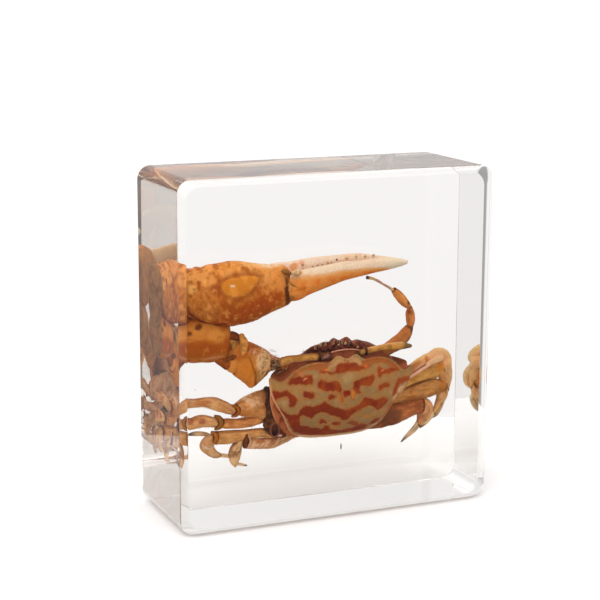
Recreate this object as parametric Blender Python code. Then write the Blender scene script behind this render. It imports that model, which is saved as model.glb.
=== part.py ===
"""A dried fiddler crab sealed in a clear resin block that stands on its narrow bottom face.

X runs to the right along the front face, Y into the depth, Z up.
The origin is the centre of the bottom face. The crab shows its back to the front face.
"""
import bpy
import bmesh
from math import cos, pi, radians, sin
from mathutils import Vector

# Driving dimensions, in millimetres
BLOCK_WIDTH = 73.0
BLOCK_DEPTH = 28.0
BLOCK_HEIGHT = 75.5
CORNER_RADIUS = 3.0
FRONT_EDGE_RADIUS = 1.6
BACK_EDGE_RADIUS = 0.7
PARTING_DEPTH = 4.0
PARTING_GAP = 0.3
CLEARANCE = 0.5

# The crab's own plane: u to the right, f towards its front, d out of its back
CRAB_CENTRE = Vector((4.3, 2.4, 25.1))
CRAB_PITCH = radians(19.5)
HALF_WIDTH = 17.2
HALF_LENGTH = 10.2
DOME_HEIGHT = 5.0
DOME_SIDE_DROP = 5.2
DOME_END_DROP = 3.8

MM = 0.001
LIMB_SIDES = 8
CLAW_SIDES = 12
PART_NAME = "fiddler_crab_in_resin_block"

AXIS_U = Vector((1.0, 0.0, 0.0))
AXIS_F = Vector((0.0, -sin(CRAB_PITCH), cos(CRAB_PITCH)))
AXIS_D = Vector((0.0, -cos(CRAB_PITCH), -sin(CRAB_PITCH)))

# Right half of the carapace's margin, from the front notch round to the rear, as (u, f)
HALF_MARGIN = (
    (0.0, 9.6), (2.3, 10.2), (4.2, 9.1), (6.5, 9.1), (9.0, 8.7), (12.0, 7.2), (15.0, 4.6),
    (17.3, 5.0), (17.2, 3.0), (16.6, 1.0), (15.5, -1.2), (13.6, -3.8), (12.0, -6.4),
    (10.6, -9.2), (9.0, -10.5), (5.0, -10.4), (0.0, -10.2),
)

# Rings of the dome, as a share of the margin's size
DOME_RINGS = (0.78, 0.5, 0.22)

# Rings below the margin: width share, length share in front, length share behind, height d
# The first is the orbits' groove, whose height is counted from the margin.
GROOVE_RING = (0.96, 0.86, 0.99, -1.2)
BELLY_RINGS = (
    (0.93, 1.06, 0.98, -2.8),
    (0.72, 1.08, 0.92, -6.0),
    (0.48, 0.80, 0.72, -8.4),
)

# Each limb is a list of rings: x, y, z of the centre, half its height, half its depth
LARGE_CLAW = {
    "palm": (
        (-34.8, 7.2, 50.2, 2.0, 1.7), (-34.0, 7.0, 50.1, 3.7, 3.1), (-32.8, 6.6, 50.2, 4.7, 4.0),
        (-29.4, 5.6, 50.1, 5.4, 4.9), (-26.3, 4.8, 49.5, 6.5, 5.2), (-23.2, 4.3, 49.2, 7.1, 5.3),
        (-20.0, 3.9, 49.3, 7.0, 5.1), (-16.5, 3.5, 49.5, 6.4, 4.6), (-12.6, 3.1, 49.9, 5.3, 3.8),
        (-9.4, 2.9, 50.4, 4.5, 3.0),
    ),
    "palm_callus": (
        (-24.4, 0.3, 51.4, 0.7, 0.6), (-22.8, -0.3, 51.3, 2.0, 1.3), (-20.4, -0.6, 51.2, 2.3, 1.4),
        (-18.0, -0.4, 51.1, 1.9, 1.2), (-16.4, 0.2, 51.0, 0.6, 0.5),
    ),
    "fixed_finger": (
        (-12.0, 3.8, 53.0, 2.2, 2.2), (-7.5, 4.3, 53.3, 2.1, 1.8), (-2.5, 4.5, 54.0, 1.8, 1.6),
        (3.0, 4.4, 54.4, 1.6, 1.5), (8.0, 4.1, 54.7, 1.4, 1.3), (13.0, 3.5, 54.3, 1.1, 1.0),
        (17.0, 2.9, 53.9, 0.8, 0.8), (20.0, 2.4, 53.7, 0.35, 0.4),
    ),
    "moving_finger": (
        (-9.8, 2.3, 49.9, 2.4, 1.8), (-7.7, 1.9, 49.9, 3.1, 2.2), (-4.7, 1.6, 50.8, 2.9, 2.3),
        (0.2, 1.3, 51.9, 2.45, 2.1), (4.1, 1.2, 52.7, 2.1, 1.9), (8.1, 1.2, 53.0, 1.75, 1.7),
        (12.1, 1.3, 53.4, 1.5, 1.4), (16.2, 1.6, 53.6, 1.0, 1.1), (19.8, 1.9, 53.5, 0.3, 0.35),
    ),
    "wrist": (
        (-34.9, 7.2, 39.5, 2.0, 1.8), (-34.0, 7.0, 39.6, 3.8, 3.2), (-31.0, 6.3, 39.7, 4.8, 4.2),
        (-27.0, 5.7, 39.4, 4.9, 4.4), (-24.0, 5.4, 39.0, 4.5, 4.2), (-21.8, 5.2, 38.4, 3.2, 3.0),
    ),
    "arm": (
        (-23.2, 5.2, 36.8, 2.8, 2.4), (-22.0, 5.2, 36.1, 4.2, 3.2), (-19.0, 5.1, 34.3, 4.6, 3.7),
        (-16.0, 5.0, 32.6, 4.6, 3.8), (-14.4, 5.0, 31.7, 4.2, 3.4),
    ),
    "arm_base": (
        (-16.0, 5.0, 32.2, 2.8, 2.6), (-12.5, 4.8, 33.3, 2.4, 2.3), (-8.5, 5.2, 32.6, 2.2, 2.2),
        (-4.5, 5.8, 30.5, 2.0, 2.0),
    ),
}
SMALL_CLAW = {
    "arm": (
        (10.0, 4.6, 30.5, 2.0, 1.8), (15.5, 3.4, 33.6, 2.1, 1.8), (18.8, 3.6, 36.6, 1.8, 1.6),
        (21.2, 4.0, 39.2, 0.9, 0.9),
    ),
    "wrist": (
        (21.3, 4.1, 39.2, 0.9, 0.9), (21.7, 4.3, 41.4, 1.2, 1.1), (21.3, 4.5, 43.9, 0.9, 0.8),
    ),
    "palm": (
        (21.3, 4.5, 43.5, 0.8, 0.8), (19.9, 4.4, 45.6, 1.25, 1.0), (18.4, 4.3, 46.9, 0.95, 0.8),
        (17.0, 4.1, 47.9, 0.5, 0.5),
    ),
    "fingers": (
        (17.4, 4.1, 47.6, 0.5, 0.5), (15.1, 4.0, 49.3, 0.4, 0.4), (13.0, 3.8, 50.3, 0.35, 0.35),
        (10.4, 3.5, 50.8, 0.25, 0.25),
    ),
}
EYESTALKS = {
    "left": (
        (1.4, 0.8, 33.9, 0.9, 0.9), (-1.8, -1.2, 34.5, 0.8, 0.8), (-6.5, -1.4, 34.6, 0.8, 0.8),
        (-10.5, -1.3, 34.3, 1.0, 1.0),
        (-12.4, -1.2, 34.0, 0.9, 0.9), (-13.2, -1.2, 33.9, 0.4, 0.4),
    ),
    "right": (
        (6.2, 0.8, 33.9, 0.9, 0.9), (9.2, -1.2, 34.6, 0.8, 0.8), (13.5, -1.2, 35.0, 0.8, 0.8),
        (17.0, -0.9, 35.1, 1.0, 1.0),
        (19.2, -0.7, 35.1, 0.9, 0.9), (20.0, -0.7, 35.0, 0.4, 0.4),
    ),
}
LEGS = {
    "left_first_thigh": (
        (-5.0, 7.5, 27.0, 1.8, 1.6), (-11.0, 6.5, 25.0, 2.7, 1.8), (-14.5, 6.4, 24.2, 2.6, 1.8),
        (-19.4, 6.9, 22.9, 1.6, 1.4),
    ),
    "left_first_shin": (
        (-19.0, 6.9, 22.7, 1.2, 1.1), (-21.5, 7.1, 23.3, 1.4, 1.2), (-25.1, 7.3, 25.0, 1.3, 1.1),
        (-29.0, 7.4, 25.3, 1.1, 1.0), (-33.6, 7.4, 25.2, 0.9, 0.8),
    ),
    "left_first_claw": (
        (-33.3, 7.6, 25.0, 0.7, 0.7), (-31.5, 9.6, 24.8, 0.5, 0.5), (-25.6, 11.0, 24.5, 0.2, 0.2),
    ),
    "left_second_thigh": (
        (-5.0, 8.6, 24.0, 1.8, 1.6), (-11.0, 7.5, 21.2, 2.1, 1.7), (-15.0, 7.8, 20.3, 2.0, 1.6),
        (-23.0, 8.4, 20.2, 1.4, 1.2),
    ),
    "left_second_shin": (
        (-22.8, 8.4, 20.4, 1.2, 1.1), (-26.0, 8.7, 20.9, 1.45, 1.2), (-29.8, 8.8, 20.5, 1.3, 1.1),
        (-34.4, 8.8, 19.9, 0.9, 0.8),
    ),
    "left_second_claw": (
        (-34.0, 9.0, 19.6, 0.7, 0.7), (-31.0, 10.6, 18.4, 0.5, 0.5), (-25.3, 11.0, 17.9, 0.2, 0.2),
    ),
    "left_third_thigh": (
        (-5.2, 9.4, 21.0, 1.7, 1.5), (-11.0, 8.3, 17.8, 1.9, 1.5), (-17.2, 8.5, 16.7, 1.7, 1.4),
        (-24.0, 9.0, 16.6, 1.3, 1.1),
    ),
    "left_third_shin": (
        (-23.8, 9.0, 16.8, 1.1, 1.0), (-26.2, 10.2, 15.8, 1.4, 1.2), (-26.3, 11.0, 14.4, 1.4, 1.1),
        (-24.8, 11.2, 13.2, 1.3, 1.1), (-22.8, 11.2, 12.4, 0.8, 0.8),
    ),
    "left_third_claw": (
        (-23.3, 11.2, 12.5, 0.6, 0.6), (-20.5, 10.9, 11.9, 0.4, 0.4), (-17.5, 10.6, 11.6, 0.2, 0.2),
    ),
    "left_fourth_thigh": (
        (-3.5, 9.6, 17.8, 1.6, 1.4), (-8.5, 8.9, 15.4, 1.9, 1.5), (-12.7, 8.8, 14.9, 1.75, 1.4),
        (-16.8, 9.2, 15.1, 1.4, 1.2),
    ),
    "left_fourth_shin": (
        (-16.4, 9.3, 15.2, 1.1, 1.0), (-18.7, 9.8, 14.4, 1.25, 1.1), (-19.3, 10.1, 12.6, 1.3, 1.1),
        (-19.4, 10.3, 10.4, 0.9, 0.9),
    ),
    "left_fourth_claw": (
        (-19.5, 10.3, 10.8, 0.7, 0.7), (-18.6, 10.1, 9.8, 0.5, 0.5), (-16.0, 9.6, 9.2, 0.2, 0.2),
    ),
    "right_first_thigh": (
        (12.5, 7.6, 27.5, 1.8, 1.6), (20.4, 5.6, 29.2, 2.1, 1.6), (24.0, 7.3, 29.8, 1.8, 1.5),
        (27.6, 9.0, 30.3, 1.4, 1.2),
    ),
    "right_first_shin": (
        (27.2, 8.9, 30.3, 1.1, 1.0), (30.5, 10.2, 30.6, 1.3, 1.1), (32.8, 11.2, 29.4, 1.3, 1.1),
        (33.4, 11.5, 26.5, 1.2, 1.1), (33.4, 11.5, 23.4, 1.0, 0.9),
    ),
    "right_first_claw": (
        (33.4, 11.5, 24.0, 0.8, 0.8), (32.6, 11.4, 19.5, 0.6, 0.6), (31.0, 11.2, 16.0, 0.2, 0.2),
    ),
    "right_second_thigh": (
        (12.5, 8.6, 24.6, 1.8, 1.6), (21.8, 6.8, 25.9, 2.0, 1.6), (27.0, 8.6, 26.6, 1.7, 1.4),
        (30.8, 9.9, 26.8, 1.3, 1.1),
    ),
    "right_second_shin": (
        (30.4, 9.8, 26.9, 1.1, 1.0), (32.4, 10.3, 25.3, 1.2, 1.1), (32.4, 10.6, 22.6, 1.2, 1.1),
        (31.2, 10.8, 19.4, 0.9, 0.9),
    ),
    "right_second_claw": (
        (31.4, 10.8, 19.8, 0.7, 0.7), (29.4, 10.9, 16.6, 0.45, 0.45), (27.0, 10.6, 13.8, 0.2, 0.2),
    ),
    "right_third_thigh": (
        (12.5, 9.4, 21.6, 1.7, 1.5), (20.0, 7.6, 22.3, 2.1, 1.6), (25.0, 8.9, 22.8, 1.8, 1.4),
        (29.0, 10.0, 23.0, 1.3, 1.1),
    ),
    "right_third_shin": (
        (28.6, 9.9, 23.1, 1.1, 1.0), (30.6, 10.0, 21.0, 1.2, 1.1), (29.6, 10.3, 17.4, 1.1, 1.0),
        (27.0, 10.6, 14.2, 0.8, 0.8),
    ),
    "right_third_claw": (
        (27.4, 10.6, 14.6, 0.6, 0.6), (24.5, 10.7, 12.3, 0.4, 0.4), (21.6, 10.5, 10.9, 0.2, 0.2),
    ),
    "right_fourth_thigh": (
        (11.5, 9.8, 18.4, 1.6, 1.4), (16.0, 8.6, 17.9, 1.8, 1.5), (21.5, 9.1, 18.9, 1.7, 1.4),
        (25.0, 9.8, 19.4, 1.2, 1.1),
    ),
    "right_fourth_shin": (
        (24.6, 9.7, 19.5, 1.0, 1.0), (26.8, 10.2, 18.2, 1.15, 1.0), (26.2, 10.6, 16.0, 1.1, 0.9),
        (24.6, 10.8, 14.2, 0.7, 0.7),
    ),
    "right_fourth_claw": (
        (25.0, 10.8, 14.6, 0.5, 0.5), (22.2, 10.8, 13.0, 0.2, 0.2),
    ),
}
BELLY = {
    "abdomen_flap": (
        (4.3, 11.5, 18.2, 3.4, 0.7), (4.3, 12.3, 21.3, 3.2, 0.7), (4.3, 11.0, 26.2, 2.2, 0.7),
        (4.3, 9.5, 30.6, 1.2, 0.6),
    ),
}
MOUTHPARTS = {
    "left_mouthpart": (
        (-1.0, 4.4, 33.5, 1.0, 1.4), (-0.4, 2.6, 35.6, 1.2, 1.6), (0.6, 1.6, 36.3, 0.9, 1.2),
        (1.8, 1.0, 36.7, 0.4, 0.6),
    ),
    "right_mouthpart": (
        (9.4, 4.4, 33.5, 1.0, 1.4), (8.6, 2.6, 35.4, 1.2, 1.6), (7.0, 1.6, 36.1, 0.9, 1.2),
        (5.4, 1.0, 36.6, 0.4, 0.6),
    ),
}


def clear_scene():
    for old in list(bpy.data.objects):
        bpy.data.objects.remove(old, do_unlink=True)


def collection(name):
    made = bpy.data.collections.new(name)
    bpy.context.scene.collection.children.link(made)
    return made


def material(name, colour, roughness, alpha=1.0):
    made = bpy.data.materials.new(name)
    made.use_nodes = True
    shader = made.node_tree.nodes["Principled BSDF"]
    shader.inputs["Base Color"].default_value = (*colour, 1.0)
    shader.inputs["Roughness"].default_value = roughness
    shader.inputs["Metallic"].default_value = 0.0
    shader.inputs["Alpha"].default_value = alpha
    return made


def to_object(name, body, home):
    """Turn a bmesh in millimetres into an object in metres."""
    bmesh.ops.scale(body, vec=(MM, MM, MM), verts=body.verts)
    bmesh.ops.recalc_face_normals(body, faces=body.faces)
    mesh = bpy.data.meshes.new(name)
    body.to_mesh(mesh)
    body.free()
    made = bpy.data.objects.new(name, mesh)
    home.objects.link(made)
    return made


def as_tool(made):
    made.hide_render = True
    made.display_type = "WIRE"
    return made


def boolean(target, operation, tools):
    step = target.modifiers.new(operation.lower(), "BOOLEAN")
    step.operation = operation
    step.operand_type = "COLLECTION"
    step.collection = tools
    step.solver = "EXACT"


def ring(centre, across, deep, half_height, half_depth, sides):
    points = []
    for k in range(sides):
        angle = 2 * pi * (k + 0.5) / sides
        points.append(centre + across * (half_height * cos(angle)) + deep * (half_depth * sin(angle)))
    return points


def limb(name, rings, home, sides, grow=0.0):
    """Loft a limb's segment through its rings, closed at both ends.

    grow makes each ring wider by that many millimetres and moves the ends out as far.
    """
    body = bmesh.new()
    centres = [Vector(r[:3]) for r in rings]
    last = len(rings) - 1
    loops = []
    for i, entry in enumerate(rings):
        along = (centres[min(i + 1, last)] - centres[max(i - 1, 0)]).normalized()
        deep = Vector((0.0, 1.0, 0.0))
        deep = (deep - deep.dot(along) * along).normalized()
        across = along.cross(deep)
        centre = centres[i]
        if i == 0:
            centre = centre - along * grow
        if i == last:
            centre = centre + along * grow
        points = ring(centre, across, deep, entry[3] + grow, entry[4] + grow, sides)
        loops.append([body.verts.new(p) for p in points])
    for low, high in zip(loops, loops[1:]):
        for k in range(sides):
            n = (k + 1) % sides
            body.faces.new((low[k], low[n], high[n], high[k]))
    body.faces.new(loops[0])
    body.faces.new(list(reversed(loops[-1])))
    return to_object(name, body, home)


def dome(u, f):
    """Height of the carapace's back above the plane of its side margins."""
    return DOME_HEIGHT - DOME_SIDE_DROP * (u / HALF_WIDTH) ** 2 - DOME_END_DROP * (f / HALF_LENGTH) ** 2


def crab_point(u, f, d):
    return CRAB_CENTRE + AXIS_U * u + AXIS_F * f + AXIS_D * d


def margin_outline():
    left = [(-u, f) for u, f in reversed(HALF_MARGIN[1:-1])]
    return list(HALF_MARGIN) + left


def crab_rings():
    """Rings of the body from the top of the dome down to the belly, as points."""
    outline = margin_outline()
    rings = []
    for share in reversed(DOME_RINGS):
        rings.append([crab_point(u * share, f * share, dome(u * share, f * share)) for u, f in outline])
    rings.append([crab_point(u, f, dome(u, f)) for u, f in outline])
    wide, front, back, drop = GROOVE_RING
    groove = []
    for u, f in outline:
        stretch = front if f > 0 else back
        groove.append(crab_point(u * wide, f * stretch, dome(u, f) + drop))
    rings.append(groove)
    for wide, front, back, height in BELLY_RINGS:
        level = []
        for u, f in outline:
            stretch = front if f > 0 else back
            level.append(crab_point(u * wide, f * stretch, height))
        rings.append(level)
    return rings


def crab_body(name, home):
    body = bmesh.new()
    loops = [[body.verts.new(p) for p in points] for points in crab_rings()]
    count = len(loops[0])
    for high, low in zip(loops, loops[1:]):
        for k in range(count):
            n = (k + 1) % count
            body.faces.new((high[k], high[n], low[n], low[k]))
    for loop in (loops[0], loops[-1]):
        middle = body.verts.new(sum((v.co for v in loop), Vector()) / count)
        for k in range(count):
            body.faces.new((loop[k], loop[(k + 1) % count], middle))
    return to_object(name, body, home)


def body_pocket(name, home):
    """Room for the body: the convex hull of its rings, each point moved out by the clearance."""
    body = bmesh.new()
    for points in crab_rings():
        for p in points:
            away = (p - CRAB_CENTRE).normalized()
            body.verts.new(p + away * CLEARANCE * 1.5)
    bmesh.ops.convex_hull(body, input=body.verts)
    loose = [v for v in body.verts if not v.link_faces]
    bmesh.ops.delete(body, geom=loose, context="VERTS")
    bmesh.ops.dissolve_limit(body, angle_limit=radians(4.0), verts=body.verts, edges=body.edges)
    return to_object(name, body, home)


def limb_table():
    """Every limb segment as (name, rings, sides)."""
    table = []
    for name, rings in LARGE_CLAW.items():
        sides = LIMB_SIDES if name == "palm_callus" else CLAW_SIDES
        table.append(("large_claw_" + name, rings, sides))
    for name, rings in SMALL_CLAW.items():
        table.append(("small_claw_" + name, rings, LIMB_SIDES))
    for name, rings in EYESTALKS.items():
        table.append(("eyestalk_" + name, rings, LIMB_SIDES))
    for group in (BELLY, MOUTHPARTS, LEGS):
        for name, rings in group.items():
            table.append((name, rings, LIMB_SIDES))
    return table


def build_crab(home, tools):
    crab = crab_body("fiddler_crab", home)
    for name, rings, sides in limb_table():
        as_tool(limb(name, rings, tools, sides))
    boolean(crab, "UNION", tools)
    crab.data.materials.append(material("crab_shell", (0.52, 0.24, 0.07), 0.45))
    return crab


def build_pocket(tools):
    as_tool(body_pocket("pocket_body", tools))
    for name, rings, sides in limb_table():
        as_tool(limb("pocket_" + name, rings, tools, sides, grow=CLEARANCE))


def edges_on(body, depth):
    """Edges that lie in the plane y = depth."""
    tolerance = 0.001
    return [e for e in body.edges if all(abs(v.co.y - depth) < tolerance for v in e.verts)]


def block_half(name, y_front, y_back, edge_depth, edge_radius, edge_segments, home):
    """One half of the block, with rounded corners and one rounded face edge."""
    body = bmesh.new()
    bmesh.ops.create_cube(body, size=1.0)
    bmesh.ops.scale(body, vec=(BLOCK_WIDTH, y_back - y_front, BLOCK_HEIGHT), verts=body.verts)
    middle = (0.0, (y_front + y_back) / 2, BLOCK_HEIGHT / 2)
    bmesh.ops.translate(body, vec=middle, verts=body.verts)
    corners = [e for e in body.edges if abs(e.verts[0].co.y - e.verts[1].co.y) > 1.0]
    bmesh.ops.bevel(body, geom=corners, offset=CORNER_RADIUS, segments=5, profile=0.5, affect="EDGES")
    rim = edges_on(body, edge_depth)
    bmesh.ops.bevel(body, geom=rim, offset=edge_radius, segments=edge_segments, profile=0.5, affect="EDGES")
    return to_object(name, body, home)


def build_block(home, pocket_tools):
    front_face = -BLOCK_DEPTH / 2
    back_face = BLOCK_DEPTH / 2
    resin = material("clear_resin", (0.93, 0.93, 0.91), 0.05, alpha=0.3)
    front = block_half("resin_front_half", front_face, PARTING_DEPTH - PARTING_GAP / 2,
                       front_face, FRONT_EDGE_RADIUS, 3, home)
    back = block_half("resin_back_half", PARTING_DEPTH + PARTING_GAP / 2, back_face,
                      back_face, BACK_EDGE_RADIUS, 2, home)
    for half in (front, back):
        boolean(half, "DIFFERENCE", pocket_tools)
        half.data.materials.append(resin)


clear_scene()
part = collection(PART_NAME)
crab_tools = collection("crab_tools")
pocket_tools = collection("pocket_tools")
build_crab(part, crab_tools)
build_pocket(pocket_tools)
build_block(part, pocket_tools)
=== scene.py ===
"""Looks of a dried fiddler crab sealed in a clear resin block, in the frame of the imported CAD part.

X runs to the right along the block's front face, Y into its depth, Z up, origin at the centre of the bottom.
Tables are in millimetres. Colours are written as sRGB values from 0 to 255.
"""
from math import cos, pi, radians, sin

import bpy
import numpy as np
from mathutils import Matrix, Vector


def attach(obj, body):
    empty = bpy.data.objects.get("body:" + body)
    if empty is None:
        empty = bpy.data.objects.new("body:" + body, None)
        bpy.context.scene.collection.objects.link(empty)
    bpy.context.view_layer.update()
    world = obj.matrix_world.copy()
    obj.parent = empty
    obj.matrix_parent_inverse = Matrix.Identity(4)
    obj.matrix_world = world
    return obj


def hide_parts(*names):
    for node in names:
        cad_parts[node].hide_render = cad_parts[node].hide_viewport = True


MM = 0.001

# The resin block: the front rim reaches in by these widths from the left, right, bottom and top
BLOCK_SIZE = (73.0, 28.0, 75.5)
CORNER_RADIUS = 3.0
CORNER_STEPS = 12
FRONT_RIM_WIDTHS = (1.3, 3.2, 1.6, 1.4)
FRONT_RIM_DEPTH = 2.0
BACK_RIM_RADIUS = 0.12
RIM_STEPS = 12
# 2 is a round rim, 1 a flat chamfer
RIM_POWER = 1.3
RESIN_IOR = 1.51
RESIN_TINT = (0.80, 0.75, 0.70)
RESIN_DENSITY = 14.0

# The camera, as found from the block's edges in the photograph
CAMERA_AZIMUTH = radians(-23.21)
CAMERA_ELEVATION = radians(11.71)
CAMERA_ROLL = radians(0.20)
CAMERA_DISTANCE = 370.1
CAMERA_AIM = (0.0, 0.0, 36.5)
CAMERA_AIM_RIGHT = -3.76
CAMERA_AIM_UP = 9.02
FOCAL_PIXELS = 1672.4
PHOTO_WIDTH = 600
SENSOR_WIDTH = 36.0
# Nearest and farthest distance that it sees, in metres
CAMERA_CLIP = (0.01, 20.0)

# A hair of air under the block, so that its bottom face stays a mirror as in the photograph
FLOOR_GAP = 0.2
# The floor is an oval, and its middle lies a little behind the block's
FLOOR_HALF_WIDTH = 90.0
FLOOR_HALF_DEPTH = 62.0
FLOOR_BEHIND = 14.0
FLOOR_SIDES = 64
FLOOR_TONE = (0.74, 0.735, 0.73)

# Brightness of the studio: below the horizon behind, beside and in front of the block, of which the
# share WORLD_LEFT remains on the far left; then above it, overhead, and as the camera sees it
WORLD_BEHIND = 1.07
WORLD_LEFT = 0.90
WORLD_BESIDE = 0.75
WORLD_CAMERA_SIDE = 0.20
WORLD_HORIZON = 0.84
WORLD_OVERHEAD = 1.12
WORLD_SEEN = 1.1
# Where these levels pass into each other: the first two along y of the direction, then x, z and z
WORLD_BEHIND_SPAN = (-0.66, 0.4)
WORLD_CAMERA_SPAN = (-0.84, -0.66)
WORLD_LEFT_SPAN = (-0.6, 0.2)
WORLD_OVERHEAD_SPAN = (0.22, 0.60)
WORLD_HORIZON_SPAN = (-0.1, 0.15)
# A narrow dark gap between the white backdrop and the light on the left, from and to this x of the direction
WORLD_GAP = 0.38
WORLD_GAP_SIDES = (-0.40, -0.20)
WORLD_GAP_BLUR = 0.03
# It fades in between these two y of the direction
WORLD_GAP_SPAN = (0.3, 0.6)
# A broad lamp above the block on the camera's left
KEY_DIRECTION = (-0.35, -0.55, 0.76)
KEY_STRENGTH = 1.8
# How closely a direction has to agree with the lamp's, for none and for all of its light
KEY_SPAN = (0.35, 1.0)

# Numbers that scramble the corners of the noise, and what sets its octaves apart
SCRAMBLE = (374761393, 668265263, 1440662683, 974634777)
SCRAMBLE_AGAIN = 1274126177
SCRAMBLE_MASK = 0xFFFFFFFF
NOISE_SHIFT = 17.3

# A limb's round ends: degrees of their rings and how far the skin leans outwards; fewest rings between them
CAP_ANGLES = (75.0, 55.0, 35.0, 15.0)
CAP_LEAN = 1.2
LEAST_RINGS = 5

# The shell's grain, as noise per metre, and the brightness and depth that it gives
MOTTLE_SCALE = 2600.0
SHEEN_SCALE = 900.0
NOISE_SPAN = (0.3, 0.7)
MOTTLE_LEVELS = (0.86, 1.12)
PIT_DEPTH = 0.1

# The crab's own plane: u to the right, f towards its front, d out of its back
CRAB_CENTRE = np.array((4.3, 2.4, 25.1))
CRAB_PITCH = radians(19.5)
HALF_WIDTH = 17.2
HALF_LENGTH = 10.2
DOME_HEIGHT = 5.0
DOME_SIDE_DROP = 5.2
DOME_END_DROP = 3.8
AXIS_U = np.array((1.0, 0.0, 0.0))
AXIS_F = np.array((0.0, -sin(CRAB_PITCH), cos(CRAB_PITCH)))
AXIS_D = np.array((0.0, -cos(CRAB_PITCH), -sin(CRAB_PITCH)))

# How finely the body is divided: points round the margin, rings over the back, rings down the wall
BODY_AROUND = 380
BODY_INWARD = 112
BODY_DOWN = 64
# Below 1, the rings of the back crowd a little towards the margin
RING_CROWDING = 0.92
# Spacing along the margin's curve before its points are evened out
MARGIN_STEP = 0.02
# The belly's lowest point, and its seams: where along f they lie, their width and their depth
BELLY_BOTTOM = -8.8
BELLY_SEAMS = (4.6, 1.6, -1.6, -4.6)
BELLY_SEAM_WIDTH = 0.28
BELLY_SEAM_DEPTH = 0.30
# Swollen regions of the back, alike on both sides: rise, middle and reach across, middle and reach along
BACK_LUMPS = ((0.28, 9.5, 4.5, -1.0, 5.0), (0.16, 0.0, 1.9, -3.4, 2.4), (0.12, 2.3, 1.3, 8.6, 1.2))
# The beaded rim and the groove inside it: rise, share of the way to the margin, width
RIM_WAVES = ((0.14, 0.975, 0.014), (-0.10, 0.94, 0.014))

# Left flank below the margin, rear end last: u, f, depth below the back, half width
FLANK = (
    (-16.4, 1.6, 1.4, 0.5), (-15.9, -0.9, 1.5, 0.9), (-14.7, -3.9, 1.6, 1.2), (-13.1, -6.8, 1.7, 1.4),
    (-11.2, -9.2, 1.6, 1.2), (-9.0, -10.7, 1.5, 0.8),
)
FLANK_THICKNESS = 0.8
# The carapace's margin from the front notch to the rear, on the right and on the left, as (u, f)
RIGHT_MARGIN = (
    (0.0, 9.6), (2.3, 10.2), (4.2, 9.1), (6.5, 9.1), (9.0, 8.7), (12.0, 7.2), (15.0, 4.6),
    (17.3, 4.8), (16.6, 2.2), (15.6, 0.4), (14.4, -1.2), (12.9, -2.6), (11.8, -4.4),
    (11.0, -6.4), (9.7, -8.7), (7.2, -10.1), (4.0, -10.5), (0.0, -10.4),
)
LEFT_MARGIN = (
    (-2.3, 10.2), (-4.2, 9.1), (-6.5, 9.1), (-9.0, 8.7), (-12.0, 7.2), (-15.0, 4.6),
    (-17.3, 5.0), (-17.3, 3.0), (-16.8, 1.0), (-15.8, -1.0), (-14.2, -3.4), (-13.0, -6.0),
    (-11.8, -8.4), (-9.9, -10.1), (-7.5, -10.7), (-4.0, -10.6),
)

# Levels below the margin: share of the width, of the length in front and behind, and the height d
# The first four heights are counted from the margin, the others from the plane of the margins.
LIP_LEVELS = (
    (0.992, 0.985, 0.995, -0.30), (0.975, 0.93, 0.985, -0.75), (0.955, 0.86, 0.975, -1.25),
    (0.95, 0.93, 0.975, -1.9),
)
BELLY_LEVELS = (
    (0.93, 1.06, 0.98, -3.0), (0.84, 1.09, 0.96, -4.5), (0.72, 1.08, 0.92, -6.0),
    (0.60, 0.95, 0.83, -7.5), (0.48, 0.80, 0.72, -8.4), (0.25, 0.42, 0.38, -8.75),
)

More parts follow.
